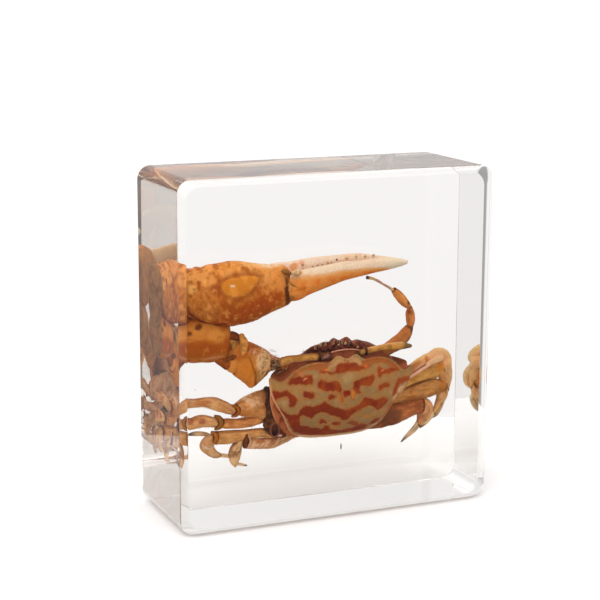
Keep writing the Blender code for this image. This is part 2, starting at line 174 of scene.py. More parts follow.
# Dark red-brown marks on the back, as outlines in the crab's own plane (u, f)
DARK_MARKS = {
    "left_front": (
        (-8.0, 4.8), (-8.2, 5.8), (-8.4, 6.6), (-9.1, 6.6), (-10.0, 6.3), (-10.9, 6.2),
        (-11.9, 6.0), (-12.9, 5.4), (-13.5, 4.6), (-13.3, 4.2), (-10.7, 4.6), (-9.6, 4.5),
    ),
    "left_block": (
        (-6.9, 5.4), (-6.5, 5.7), (-5.6, 5.7), (-4.9, 5.3), (-4.0, 5.2), (-3.4, 5.4),
        (-2.4, 5.3), (-1.9, 4.9), (-1.7, 4.1), (-1.4, 3.4), (-1.4, 2.8), (-2.0, 2.7),
        (-2.6, 3.1), (-3.8, 3.3), (-5.2, 3.3), (-6.2, 3.5), (-6.9, 4.0), (-7.0, 4.7),
    ),
    "left_square": (
        (-10.2, 3.0), (-9.6, 3.2), (-8.7, 3.0), (-7.9, 3.1), (-7.6, 2.6), (-7.7, 1.9),
        (-8.3, 1.5), (-9.3, 1.6), (-10.0, 1.7), (-10.3, 2.3),
    ),
    "left_small": (
        (-4.6, 1.8), (-4.2, 2.4), (-3.5, 2.6), (-2.8, 2.3), (-2.8, 1.8), (-3.5, 1.5), (-4.3, 1.3),
    ),
    "left_hook": (
        (-16.9, 2.2), (-16.2, 2.4), (-15.0, 2.3), (-14.5, 2.8), (-13.7, 3.0), (-12.9, 2.5),
        (-12.2, 1.9), (-11.5, 1.4), (-11.4, 0.9), (-11.7, 0.3), (-11.8, -0.5), (-12.5, -0.9),
        (-13.2, -0.8), (-13.4, -0.3), (-13.2, 0.4), (-13.3, 1.1), (-13.8, 1.5), (-14.7, 1.3),
        (-15.3, 0.8), (-15.7, 0.1), (-16.2, 0.6), (-16.6, 1.2),
    ),
    "wavy_band": (
        (-11.0, -2.4), (-10.6, -1.4), (-10.1, -0.5), (-9.4, -0.1), (-8.2, -0.2), (-7.7, -0.4),
        (-7.2, 0.0), (-6.3, 0.3), (-5.6, 0.7), (-5.1, 0.9), (-4.4, 0.3), (-3.7, -0.2),
        (-2.8, -0.7), (-1.6, -1.1), (-0.3, -1.5), (0.9, -1.3), (2.1, -1.0), (3.1, -0.5),
        (3.8, 0.1), (4.1, 0.7), (4.5, 1.0), (5.2, 0.7), (6.2, 0.1), (7.6, -0.3), (8.5, -0.1),
        (9.3, 0.1), (10.2, -0.6), (10.7, -1.6), (10.3, -2.2), (9.6, -2.6), (9.0, -3.1),
        (8.3, -3.4), (7.4, -2.5), (6.5, -1.7), (5.5, -1.5), (4.4, -1.8), (3.4, -2.4),
        (2.1, -2.8), (1.3, -3.4), (1.0, -4.2), (0.4, -4.6), (-0.2, -4.6), (-0.9, -4.3),
        (-1.3, -3.7), (-2.5, -3.2), (-3.4, -3.0), (-4.2, -2.4), (-5.0, -2.0), (-5.8, -1.7),
        (-6.5, -2.1), (-7.3, -2.6), (-7.5, -3.2), (-7.9, -3.8), (-8.5, -3.5), (-9.1, -3.0),
        (-9.8, -2.9), (-10.6, -3.2), (-11.2, -3.0),
    ),
    "left_rim": (
        (-10.3, -2.9), (-10.3, -4.4), (-10.0, -5.9), (-9.4, -6.6), (-9.6, -8.6), (-10.6, -8.8),
        (-11.6, -7.0), (-12.5, -5.2), (-13.5, -3.7), (-14.9, -1.9), (-14.6, -1.6), (-13.9, -2.3),
        (-13.0, -2.9), (-11.9, -2.9),
    ),
    "rear_band": (
        (-9.6, -6.2), (-8.8, -6.2), (-7.8, -6.6), (-6.9, -6.8), (-6.0, -6.7), (-4.9, -7.4),
        (-4.5, -6.8), (-4.3, -6.1), (-3.5, -6.4), (-2.9, -7.2), (-1.8, -7.8), (0.0, -8.2),
        (1.4, -7.9), (2.9, -7.8), (4.3, -6.9), (5.5, -7.1), (6.8, -7.9), (6.6, -9.1),
        (5.1, -9.4), (2.5, -9.4), (0.0, -9.4), (-2.3, -9.5), (-4.6, -9.7), (-6.9, -9.7),
        (-8.8, -9.5), (-10.2, -8.6),
    ),
    "rear_arch": (
        (3.2, -7.4), (2.4, -6.5), (1.1, -6.0), (1.3, -5.3), (2.1, -5.2), (3.4, -5.8), (4.3, -7.2),
    ),
    "rear_streak": (
        (7.0, -7.8), (7.5, -6.7), (8.3, -6.1), (9.1, -6.1), (9.8, -7.1), (9.1, -7.7), (8.1, -8.3),
    ),
    "rear_spot_left": (
        (-5.8, -4.1), (-5.2, -3.8), (-4.4, -4.4), (-3.9, -4.7), (-4.0, -5.3), (-4.7, -5.2),
        (-5.3, -5.4), (-5.8, -4.9),
    ),
    "rear_spot_middle": (
        (-2.8, -5.0), (-2.0, -4.8), (-0.9, -5.2), (-0.7, -6.0), (-1.4, -6.3), (-2.3, -5.9),
        (-2.8, -5.4),
    ),
    "right_block": (
        (1.3, 4.0), (1.4, 4.6), (2.2, 5.1), (3.1, 5.3), (4.4, 5.4), (5.2, 5.5), (5.6, 5.8),
        (6.3, 5.7), (6.7, 5.2), (6.6, 4.4), (6.2, 3.7), (5.6, 3.4), (4.7, 3.4), (3.5, 3.8),
        (3.1, 3.6), (3.0, 2.8), (3.3, 2.1), (2.4, 2.1), (1.9, 2.4), (1.6, 2.9), (1.2, 3.3),
    ),
    "right_front": (
        (7.4, 6.8), (7.9, 6.9), (8.6, 6.6), (9.4, 6.2), (10.5, 6.1), (11.6, 6.1), (12.6, 5.6),
        (13.3, 5.0), (13.1, 4.8), (11.9, 5.0), (10.7, 5.1), (9.7, 5.2), (8.8, 5.2), (8.5, 4.8),
        (7.9, 4.8), (7.5, 5.4), (7.3, 6.2),
    ),
    "right_small": (
        (7.7, 2.7), (8.2, 3.0), (8.8, 3.3), (9.7, 3.3), (10.6, 3.1), (10.8, 2.4), (10.3, 2.0),
        (9.2, 2.1), (8.6, 1.7), (8.1, 1.7), (7.7, 2.3),
    ),
    "right_hook": (
        (11.9, -0.7), (11.9, 0.5), (12.1, 1.3), (12.5, 2.3), (12.9, 3.0), (13.6, 3.1),
        (14.8, 3.0), (16.2, 2.6), (16.7, 1.9), (15.8, 1.6), (14.8, 1.6), (13.9, 1.7),
        (13.4, 1.3), (13.2, 0.5), (12.9, -0.4), (12.5, -1.1),
    ),
    "front_band": (
        (-4.5, 7.4), (-4.0, 7.8), (-3.5, 8.3), (-2.8, 8.8), (-1.8, 9.1), (-0.9, 9.0), (0.1, 9.0),
        (1.1, 9.0), (2.0, 8.8), (2.7, 8.2), (3.7, 7.8), (4.4, 7.3), (4.6, 7.0), (3.4, 7.0),
        (1.9, 7.1), (0.5, 7.1), (-0.7, 7.0), (-1.9, 6.9), (-3.1, 6.8), (-4.0, 6.8), (-4.9, 7.0),
        (-5.8, 6.9), (-6.6, 7.2), (-6.7, 7.5), (-6.0, 7.6), (-5.2, 7.3),
    ),
}
BRIGHT_MARKS = {
    "middle": (
        (-0.8, 3.3), (0.6, 3.1), (0.9, 2.5), (0.7, 2.0), (-0.1, 2.0), (-0.3, 1.4), (-0.8, 1.8),
        (-1.0, 2.6),
    ),
}
ORANGE_MARKS = {
    "streak_left": (
        (-1.8, 2.7), (-1.3, 2.6), (-0.9, 1.8), (-0.7, 0.9), (-1.0, 0.2), (-1.5, 0.5), (-1.7, 1.5),
    ),
    "streak_right": ((0.9, 3.1), (1.4, 2.8), (1.6, 1.6), (1.8, 0.8), (1.3, 0.7), (0.8, 1.6)),
    "front_left": (
        (-13.5, 5.3), (-12.6, 6.3), (-11.6, 7.2), (-10.2, 8.0), (-8.5, 8.7), (-6.4, 9.0),
        (-4.8, 9.3), (-4.1, 9.3), (-4.3, 8.6), (-4.8, 7.9), (-5.3, 7.4), (-6.3, 7.4),
        (-6.8, 7.6), (-7.8, 7.7), (-9.2, 7.5), (-10.3, 7.2), (-11.1, 6.6), (-11.9, 6.0),
        (-12.8, 5.4),
    ),
    "front_right": (
        (3.5, 7.8), (3.1, 8.6), (4.0, 8.9), (5.0, 9.2), (6.8, 9.2), (8.7, 8.7), (10.8, 7.8),
        (12.9, 6.2), (14.0, 5.1), (12.4, 5.4), (11.0, 6.3), (9.7, 7.2), (8.4, 7.7), (6.8, 7.9),
        (5.9, 7.6), (5.5, 7.1), (4.4, 7.2),
    ),
}
# Pale lobes over the front band, drawn after it
PALE_MARKS = {
    "lobe_left": (
        (-4.8, 7.8), (-3.8, 9.0), (-2.7, 9.9), (-1.5, 10.4), (-0.9, 9.8), (-0.8, 8.9), (-1.5, 8.9),
        (-2.3, 8.8), (-3.1, 8.5), (-4.0, 7.9), (-4.6, 7.5),
    ),
    "lobe_right": (
        (-0.5, 8.9), (-0.2, 9.8), (0.6, 10.3), (1.6, 10.1), (2.7, 9.4), (3.4, 8.7), (3.7, 8.0),
        (3.1, 8.1), (2.4, 8.5), (1.5, 8.8), (0.6, 8.9), (-0.0, 8.8),
    ),
}
# Small spots on the back: u, f, half length, half width, tilt, colour, strength. The first four, and the two
# near-white ones at the rear right margin, are painted highlights.
BACK_SPOTS_AND_HIGHLIGHTS = (
    (-5.1, 7.6, 0.4, 0.28, 0, (222, 112, 44), 0.9), (4.5, 7.7, 0.4, 0.34, 0, (214, 100, 40), 0.9),
    (8.8, 6.1, 0.5, 0.22, 10, (216, 122, 86), 0.8), (-9.8, 5.6, 0.55, 0.22, 35, (222, 136, 96), 0.8),
    (-1.6, 1.2, 0.35, 0.9, 0, (204, 112, 34), 0.8), (1.3, 1.9, 0.3, 1.0, 0, (216, 128, 40), 0.8),
    (0.0, 2.3, 0.6, 0.6, 0, (140, 46, 20), 0.8), (14.6, -0.5, 0.7, 1.9, -24, (204, 160, 112), 0.7),
    (5.5, -4.3, 0.5, 0.35, 0, (186, 112, 48), 0.7), (-3.6, 7.9, 0.8, 0.8, 0, (172, 128, 84), 0.7),
    (-12.6, -0.4, 0.5, 0.7, 0, (130, 52, 28), 0.6), (0.2, 5.9, 1.2, 1.0, 0, (176, 150, 104), 0.5),
    (11.2, 0.6, 0.6, 0.8, 0, (176, 152, 108), 0.5), (-13.9, -0.2, 1.0, 0.8, 20, (182, 150, 106), 0.5),
    (14.1, 0.3, 0.9, 0.8, 0, (216, 180, 136), 0.8), (12.6, -1.4, 0.5, 1.1, -30, (208, 170, 124), 0.8),
    (11.6, -3.4, 0.7, 1.3, -30, (166, 92, 58), 0.7), (10.5, -7.2, 0.4, 0.35, 0, (230, 204, 174), 0.9),
    (8.5, -8.7, 1.1, 0.25, 30, (234, 208, 180), 0.9), (2.2, -5.9, 1.1, 0.45, -10, (140, 84, 48), 0.7),
    (5.7, -4.7, 1.2, 0.6, 0, (188, 128, 52), 0.7), (-11.9, 7.2, 0.3, 2.2, 62, (196, 112, 62), 0.5),
)

# Grooves in the back, as polylines with a depth and a half width
BACK_GROOVES = (
    (((-1.6, 3.0), (-1.2, 1.8), (-1.3, 0.2)), 0.22, 0.38),
    (((1.2, 3.2), (1.3, 1.8), (1.6, 0.6)), 0.22, 0.38),
    (((-1.2, 2.6), (0.0, 2.2), (1.2, 2.6)), 0.12, 0.35),
    (((-1.6, 3.0), (-4.2, 4.3), (-7.4, 3.4)), 0.12, 0.55),
    (((1.4, 3.2), (4.2, 4.5), (7.4, 3.7)), 0.12, 0.55),
    (((-1.3, 0.2), (-3.2, -2.6), (-3.4, -6.0)), 0.10, 0.6),
    (((1.6, 0.6), (3.3, -2.4), (3.5, -6.0)), 0.10, 0.6),
    (((0.0, 9.6), (0.0, 7.6)), 0.22, 0.5),
)

# Each limb segment is a list of rings: x, y, z of the centre, half its height, half its depth
LARGE_CLAW = {
    "palm": (
        (-34.9, 7.2, 51.6, 1.6, 1.7), (-34.1, 7.0, 51.9, 2.7, 3.1), (-32.8, 6.6, 52.0, 3.3, 4.0),
        (-31.2, 6.1, 51.2, 4.8, 4.6), (-29.4, 5.6, 50.3, 5.5, 4.9), (-26.3, 4.8, 49.5, 6.5, 5.2),
        (-23.2, 4.3, 49.2, 7.1, 5.3),
        (-20.0, 3.9, 49.3, 7.0, 5.1), (-16.5, 3.5, 49.5, 6.4, 4.6), (-12.6, 3.1, 49.9, 5.3, 3.8),
        (-9.6, 2.9, 50.3, 4.6, 3.1),
    ),
    "fixed_finger": (
        (-12.0, 3.8, 53.0, 2.2, 2.2), (-7.5, 4.3, 53.3, 2.1, 1.8), (-2.5, 4.5, 54.0, 1.8, 1.6),
        (3.0, 4.4, 54.4, 1.6, 1.5), (8.0, 4.1, 54.7, 1.4, 1.3), (13.0, 3.5, 54.3, 1.1, 1.0),
        (17.0, 2.9, 53.9, 0.8, 0.8), (20.0, 2.4, 53.7, 0.35, 0.4),
    ),
    "moving_finger": (
        (-9.8, 2.3, 49.9, 2.4, 1.8), (-7.7, 1.9, 49.9, 3.1, 2.2), (-4.7, 1.6, 50.8, 2.9, 2.3),
        (0.2, 1.3, 51.9, 2.45, 2.1), (4.1, 1.2, 52.7, 2.1, 1.9), (8.1, 1.2, 53.0, 1.75, 1.7),
        (12.1, 1.3, 53.45, 1.55, 1.45), (16.2, 1.5, 53.65, 1.2, 1.2), (18.2, 1.6, 53.65, 0.9, 0.95),
        (19.6, 1.8, 53.6, 0.5, 0.55),
    ),
    "wrist": (
        (-34.9, 7.2, 39.5, 2.0, 1.8), (-34.0, 7.0, 39.6, 3.8, 3.2), (-31.0, 6.3, 39.7, 4.8, 4.2),
        (-27.0, 5.7, 39.4, 4.9, 4.4), (-24.0, 5.4, 39.0, 4.5, 4.2), (-22.3, 5.2, 38.8, 3.9, 3.6),
    ),
    "arm": (
        (-21.8, 5.1, 35.0, 2.9, 2.2), (-21.0, 5.1, 35.0, 3.45, 2.89), (-19.96, 5.1, 35.14, 3.78, 3.44),
        (-18.62, 5.1, 34.7, 4.05, 3.61), (-17.35, 5.0, 33.9, 4.12, 3.67), (-16.15, 5.0, 33.1, 4.25, 3.61),
        (-15.0, 5.0, 32.1, 4.27, 3.17), (-14.05, 5.0, 31.1, 4.3, 2.6),
    ),
    "arm_base": (
        (-15.5, 5.2, 33.4, 2.2, 2.2), (-12.4, 4.6, 33.2, 1.9, 2.0), (-10.6, 4.8, 32.9, 1.4, 1.7),
        (-7.0, 5.6, 31.6, 1.6, 1.8),
    ),
}
# Knobs and skin between the wrist and the arm, and at the root of the moving finger
CLAW_JOINTS = (
    (((-22.4, 3.8, 40.0, 0.8, 1.0), (-21.0, 3.6, 40.1, 1.0, 1.2), (-19.6, 3.8, 39.5, 0.6, 0.9)),
     (122, 64, 34)),
    (((-21.8, 3.6, 39.0, 0.8, 0.9), (-20.8, 3.6, 37.9, 1.0, 1.0), (-20.6, 3.8, 36.7, 0.8, 0.8)),
     (184, 130, 62)),
    (((-19.2, 3.2, 40.0, 0.65, 0.9), (-18.7, 2.6, 38.6, 0.9, 1.1), (-18.8, 2.4, 37.0, 0.8, 1.1),
      (-19.4, 2.8, 35.4, 0.5, 0.9)), (214, 148, 74)),
    (((-22.3, 3.2, 35.2, 0.35, 0.8), (-21.0, 2.9, 35.6, 0.62, 1.0), (-19.6, 3.2, 36.3, 0.4, 0.8)),
     (122, 70, 34)),
    (((-25.4, 4.6, 35.4, 0.4, 0.8), (-23.8, 4.4, 34.8, 1.05, 1.4), (-22.2, 4.6, 34.3, 1.7, 1.8)),
     (160, 84, 34)),
    (((-34.9, 6.4, 49.6, 1.2, 2.4), (-34.4, 5.8, 47.6, 2.4, 3.0), (-33.6, 5.2, 45.4, 2.9, 3.2),
      (-33.2, 5.4, 43.0, 2.6, 3.0)), (176, 108, 50)),
    (((-10.5, -0.3, 53.9, 0.35, 0.6), (-9.6, -0.5, 53.6, 0.6, 0.9), (-8.8, -0.3, 53.2, 0.35, 0.6)),
     (146, 96, 48)),
    (((-8.9, 0.0, 51.0, 0.3, 0.5), (-8.7, -0.3, 50.3, 0.45, 0.6), (-8.8, 0.0, 49.6, 0.3, 0.5)),
     (214, 150, 84)),
    (((-8.2, -0.4, 53.3, 0.4, 0.6), (-7.3, -0.5, 53.4, 0.6, 0.8), (-6.5, -0.3, 53.4, 0.4, 0.6)),
     (232, 196, 146)),
)
# Teeth between the fingers: x, z and size, then the colour
TEETH = (
    (-5.1, 54.7, 0.30, (198, 150, 118)), (-4.9, 53.6, 0.18, (176, 136, 112)),
    (-4.0, 53.7, 0.17, (180, 142, 116)),
    (-2.7, 54.0, 0.20, (172, 140, 116)), (-1.5, 54.3, 0.19, (182, 144, 120)),
    (-0.4, 54.4, 0.17, (186, 148, 124)),
    (0.9, 54.6, 0.20, (176, 138, 114)), (1.7, 54.7, 0.17, (186, 148, 124)), (3.0, 55.2, 0.22, (128, 96, 74)),
    (5.4, 55.5, 0.42, (220, 192, 152)), (7.7, 55.7, 0.38, (214, 186, 148)),
    (9.8, 55.6, 0.32, (212, 184, 150)), (11.8, 55.6, 0.26, (186, 156, 128)),
)
SMALL_CLAW = {
    "arm": (
        (10.0, 4.8, 30.5, 1.6, 1.6), (13.5, 3.9, 32.6, 1.5, 1.6), (16.6, 3.4, 34.4, 1.52, 1.6),
        (18.1, 3.5, 35.1, 1.74, 1.6), (19.3, 3.6, 36.0, 1.58, 1.6), (20.4, 3.8, 37.1, 1.49, 1.4),
        (21.2, 3.9, 38.3, 1.04, 1.2),
    ),
    "wrist": (
        (21.5, 4.0, 38.4, 0.69, 1.0), (21.6, 4.1, 39.5, 0.97, 1.1), (21.6, 4.2, 40.7, 1.09, 1.2),
        (21.5, 4.3, 41.9, 0.97, 1.1), (21.5, 4.4, 43.0, 0.5, 1.0),
    ),
    "palm": (
        (21.4, 4.4, 42.9, 0.5, 0.9), (20.6, 4.3, 43.7, 0.86, 1.02), (19.7, 4.3, 44.6, 1.03, 1.06),
        (18.9, 4.2, 45.5, 1.06, 0.94), (18.1, 4.2, 46.4, 0.94, 0.78), (17.3, 4.1, 47.3, 0.62, 0.6),
    ),
    "fingers": (
        (17.2, 4.1, 47.2, 0.37, 0.55), (15.9, 4.0, 48.0, 0.32, 0.49), (14.6, 3.9, 48.8, 0.28, 0.43),
        (13.3, 3.7, 49.6, 0.28, 0.39), (12.0, 3.6, 50.2, 0.32, 0.37), (10.5, 3.5, 50.6, 0.39, 0.35),
    ),
}
EYESTALKS = {
    "left": (
        (0.9, -0.4, 34.1, 0.79, 0.8), (-1.8, -0.6, 34.4, 0.86, 0.8), (-4.5, -0.7, 34.5, 0.79, 0.8),
        (-7.1, -0.9, 34.5, 0.78, 0.82), (-9.2, -1.0, 34.45, 0.86, 0.86), (-10.7, -1.1, 34.2, 0.96, 0.9),
    ),
    "right": (
        (7.4, -0.4, 34.3, 0.68, 0.8), (9.5, -0.5, 34.6, 0.68, 0.8), (11.6, -0.6, 34.9, 0.69, 0.8),
        (13.7, -0.7, 35.1, 0.75, 0.8), (15.8, -0.7, 35.1, 0.87, 0.83), (18.0, -0.8, 35.1, 0.87, 0.87),
        (20.1, -0.9, 34.9, 0.41, 0.9),
    ),
}
LEGS = {
    "left_first_thigh": (
        (-5.0, 8.4, 26.0, 2.2, 1.8), (-8.5, 8.0, 24.6, 3.2, 1.9), (-11.2, 7.6, 23.6, 3.86, 1.9),
        (-13.0, 7.5, 23.5, 3.49, 1.94), (-14.8, 7.4, 23.6, 2.99, 1.98), (-16.5, 7.2, 23.5, 2.5, 1.9),
        (-18.2, 7.1, 23.3, 2.01, 1.7), (-19.7, 7.0, 23.2, 1.14, 1.5),
    ),
    "left_first_shin": (
        (-19.5, 6.9, 22.7, 0.92, 1.1), (-21.3, 7.0, 23.4, 1.21, 1.14), (-23.1, 7.0, 24.3, 1.37, 1.19),
        (-24.9, 7.1, 25.0, 1.42, 1.17), (-26.7, 7.2, 25.4, 1.12, 1.13), (-28.6, 7.3, 25.4, 1.0, 1.07),
        (-30.5, 7.3, 25.5, 1.03, 0.99), (-32.3, 7.6, 25.7, 0.98, 0.9), (-33.8, 8.6, 25.4, 0.95, 0.9),
    ),
    "left_first_claw": (
        (-33.4, 8.8, 25.3, 0.7, 0.6), (-32.0, 9.8, 25.2, 0.45, 0.4), (-30.4, 10.4, 25.1, 0.3, 0.3),
        (-29.0, 10.8, 25.0, 0.1, 0.12),
    ),
    "left_second_thigh": (
        (-5.0, 9.4, 23.2, 1.5, 1.4), (-9.0, 9.0, 21.3, 1.2, 1.4), (-11.7, 8.8, 20.6, 1.0, 1.4),
        (-13.6, 8.7, 20.1, 1.1, 1.47), (-15.6, 8.6, 19.8, 1.2, 1.53), (-17.6, 8.5, 19.6, 1.17, 1.6),
        (-19.6, 8.3, 19.7, 1.11, 1.5), (-21.5, 8.3, 19.9, 1.14, 1.4), (-23.5, 8.2, 20.1, 1.01, 1.3),
    ),
    "left_second_shin": (
        (-23.3, 8.2, 20.1, 0.96, 1.2), (-24.6, 8.3, 20.5, 1.12, 1.24), (-25.8, 8.4, 20.8, 1.29, 1.29),
        (-27.1, 8.5, 21.0, 1.39, 1.27), (-28.4, 8.5, 20.9, 1.42, 1.23), (-29.6, 8.6, 20.6, 1.32, 1.17),
        (-30.9, 8.7, 20.8, 1.32, 1.09), (-32.1, 8.8, 21.1, 1.3, 1.0), (-33.6, 9.2, 20.4, 1.05, 0.9),
        (-34.1, 9.5, 18.8, 0.9, 0.8),
    ),
    "left_second_claw": (
        (-25.1, 10.6, 17.3, 0.4, 0.5), (-26.3, 10.5, 17.7, 0.49, 0.55), (-27.6, 10.4, 17.9, 0.54, 0.6),
        (-28.8, 10.3, 18.0, 0.49, 0.45), (-30.0, 10.2, 17.9, 0.17, 0.3),
    ),
    "left_third_thigh": (
        (-5.0, 10.0, 19.4, 1.4, 1.4), (-8.5, 9.4, 17.3, 1.2, 1.4), (-11.1, 9.0, 16.4, 1.09, 1.4),
        (-13.3, 9.0, 16.8, 1.06, 1.47), (-15.5, 8.9, 16.9, 1.0, 1.53), (-17.6, 8.9, 16.8, 1.17, 1.6),
        (-19.7, 8.9, 16.7, 1.43, 1.53), (-21.9, 8.8, 16.7, 1.58, 1.47), (-24.0, 8.8, 16.9, 1.41, 1.4),
    ),
    "left_third_shin": (
        (-24.1, 9.0, 16.7, 1.34, 1.3), (-24.9, 9.3, 16.4, 1.32, 1.34), (-25.6, 9.6, 15.9, 1.38, 1.39),
        (-25.8, 9.9, 15.1, 1.58, 1.34), (-25.2, 10.1, 14.2, 1.35, 1.26), (-24.5, 10.4, 13.4, 1.09, 1.14),
        (-23.6, 10.7, 12.7, 0.83, 0.97), (-22.7, 11.0, 12.4, 0.45, 0.8),
    ),
    "left_third_claw": (
        (-22.8, 11.2, 12.3, 0.44, 0.6), (-21.8, 11.1, 12.2, 0.45, 0.55), (-20.8, 11.0, 12.0, 0.43, 0.5),
        (-19.8, 10.9, 11.8, 0.31, 0.35), (-18.8, 10.8, 11.8, 0.11, 0.2),
    ),
    "left_fourth_thigh": (
        (-2.5, 10.2, 17.4, 1.4, 1.3), (-5.0, 9.8, 16.0, 1.25, 1.2), (-7.3, 9.5, 15.1, 1.2, 1.2),
        (-9.1, 9.3, 14.5, 1.2, 1.32), (-11.0, 9.1, 14.2, 1.25, 1.44), (-13.0, 9.1, 14.3, 1.24, 1.46),
        (-14.9, 9.0, 14.6, 1.34, 1.38), (-16.8, 9.0, 15.0, 1.31, 1.3),
    ),
    "left_fourth_shin": (
        (-17.3, 9.2, 15.3, 1.28, 1.2), (-18.3, 9.4, 15.0, 1.02, 1.25), (-18.9, 9.6, 14.0, 1.29, 1.3),
        (-19.2, 9.8, 12.9, 1.45, 1.2), (-19.3, 9.9, 11.8, 1.33, 1.1), (-19.3, 10.1, 10.6, 0.97, 0.9),
        (-19.1, 10.3, 9.6, 0.24, 0.7),
    ),
    "left_fourth_claw": (
        (-18.9, 10.2, 10.1, 0.4, 0.5), (-18.1, 10.1, 10.0, 0.35, 0.43), (-17.2, 9.9, 9.7, 0.31, 0.32),
        (-16.4, 9.8, 9.5, 0.14, 0.15),
    ),
    "right_first_thigh": (
        (12.0, 7.6, 26.0, 1.6, 1.5), (16.5, 6.4, 26.9, 1.3, 1.5), (19.7, 6.0, 27.7, 1.11, 1.5),
        (21.7, 6.6, 28.1, 0.87, 1.54), (23.6, 7.3, 28.7, 0.92, 1.58), (25.5, 7.9, 29.5, 1.06, 1.54),
        (27.4, 8.6, 30.1, 1.13, 1.42), (29.4, 9.2, 30.5, 1.08, 1.3),
    ),
    "right_first_shin": (
        (28.5, 9.2, 30.3, 1.17, 1.1), (30.0, 9.5, 30.7, 1.45, 1.14), (31.6, 9.9, 30.4, 1.46, 1.18),
        (32.8, 10.8, 29.1, 1.5, 1.3), (32.5, 9.4, 27.9, 1.42, 1.0), (33.1, 10.6, 26.2, 1.37, 1.2),
        (33.7, 12.2, 24.5, 1.3, 1.1), (33.6, 12.3, 23.0, 1.1, 1.0), (32.7, 10.2, 21.9, 0.85, 0.8),
    ),
    "right_first_claw": (
        (32.7, 10.2, 22.1, 0.81, 0.8), (32.3, 10.4, 20.6, 0.72, 0.72), (32.4, 12.2, 18.8, 0.78, 0.7),
        (31.8, 12.3, 17.2, 0.72, 0.6), (30.7, 11.8, 16.0, 0.6, 0.4), (29.1, 11.2, 15.2, 0.11, 0.2),
    ),
    "right_second_thigh": (
        (12.0, 8.6, 23.5, 1.6, 1.5), (17.0, 7.5, 24.2, 1.3, 1.5), (20.6, 7.0, 24.9, 0.99, 1.5),
        (22.7, 7.6, 25.6, 1.21, 1.58), (24.9, 8.1, 26.2, 1.51, 1.66), (27.1, 8.7, 26.7, 1.78, 1.62),
        (29.5, 9.2, 27.0, 1.97, 1.46), (31.7, 9.8, 27.2, 1.44, 1.3),
    ),
    "right_second_shin": (
        (30.9, 9.9, 27.4, 1.36, 1.2), (32.0, 10.1, 26.8, 1.77, 1.2), (32.5, 10.3, 25.5, 1.68, 1.2),
        (32.6, 10.5, 24.2, 1.41, 1.14), (32.6, 10.7, 22.8, 1.16, 1.02), (32.3, 10.9, 21.5, 0.78, 0.9),
    ),
    "right_second_claw": (
        (32.3, 10.9, 21.7, 0.78, 0.7), (32.0, 10.8, 20.1, 0.66, 0.6), (31.4, 10.8, 18.6, 0.65, 0.5),
        (30.6, 10.7, 17.1, 0.57, 0.35), (29.8, 10.6, 15.7, 0.24, 0.2),
    ),
    "right_third_thigh": (
        (12.0, 9.4, 20.8, 1.6, 1.5), (16.5, 8.4, 21.6, 1.6, 1.5), (19.4, 8.0, 22.1, 1.72, 1.5),
        (22.0, 8.4, 22.3, 1.96, 1.58), (24.6, 8.9, 22.5, 2.06, 1.66), (27.2, 9.3, 22.7, 2.11, 1.62),
        (29.9, 9.8, 23.0, 1.94, 1.46), (32.5, 10.2, 22.7, 1.24, 1.3),
    ),
    "right_third_shin": (
        (31.2, 10.2, 23.0, 1.27, 1.2), (31.9, 10.3, 21.7, 1.53, 1.16), (31.8, 10.4, 20.3, 1.34, 1.12),
        (31.3, 10.6, 19.0, 1.02, 1.04), (30.7, 10.7, 17.7, 0.81, 0.92), (30.0, 10.8, 16.4, 0.63, 0.8),
    ),
    "right_third_claw": (
        (29.9, 10.7, 16.8, 0.72, 0.7), (29.1, 10.6, 15.9, 0.68, 0.6), (28.3, 10.6, 15.0, 0.62, 0.5),
        (27.4, 10.6, 14.2, 0.49, 0.35), (26.4, 10.5, 13.5, 0.23, 0.2),
    ),
    "right_fourth_thigh": (
        (10.0, 10.0, 16.4, 1.6, 1.4), (13.5, 9.7, 16.2, 1.5, 1.4), (15.9, 9.4, 16.3, 1.64, 1.4),
        (17.7, 9.5, 17.2, 2.44, 1.52), (19.8, 9.6, 17.9, 2.7, 1.64), (22.0, 9.7, 18.4, 2.46, 1.62),
        (24.3, 9.8, 18.8, 2.1, 1.46), (26.7, 9.9, 18.8, 1.75, 1.3),
    ),
    "right_fourth_shin": (
        (26.1, 9.9, 19.0, 1.49, 1.1), (26.9, 10.1, 18.7, 1.93, 1.1), (27.5, 10.2, 17.9, 2.16, 1.1),
        (27.4, 10.4, 16.9, 1.93, 1.1), (27.0, 10.5, 15.9, 1.47, 1.0), (26.6, 10.7, 15.0, 1.0, 0.9),
        (26.2, 10.8, 14.1, 0.53, 0.8),
    ),
    "right_fourth_claw": (
        (26.2, 10.8, 14.7, 0.72, 0.6), (25.3, 10.8, 13.5, 0.74, 0.53), (24.1, 10.7, 12.5, 0.63, 0.45),
        (22.9, 10.7, 11.6, 0.43, 0.3), (21.7, 10.6, 10.6, 0.16, 0.15),
    ),
}
MOUTHPARTS = {
    "left": (
        (-1.0, 4.4, 33.5, 1.0, 1.4), (-0.4, 2.6, 35.6, 1.2, 1.6), (0.6, 1.6, 36.3, 0.9, 1.2),
        (1.8, 1.0, 36.7, 0.4, 0.6),
    ),
    "right": (
        (9.4, 4.4, 33.5, 1.0, 1.4), (8.6, 2.6, 35.4, 1.2, 1.6), (7.0, 1.6, 36.1, 0.9, 1.2),
        (5.4, 1.0, 36.6, 0.4, 0.6),
    ),
}
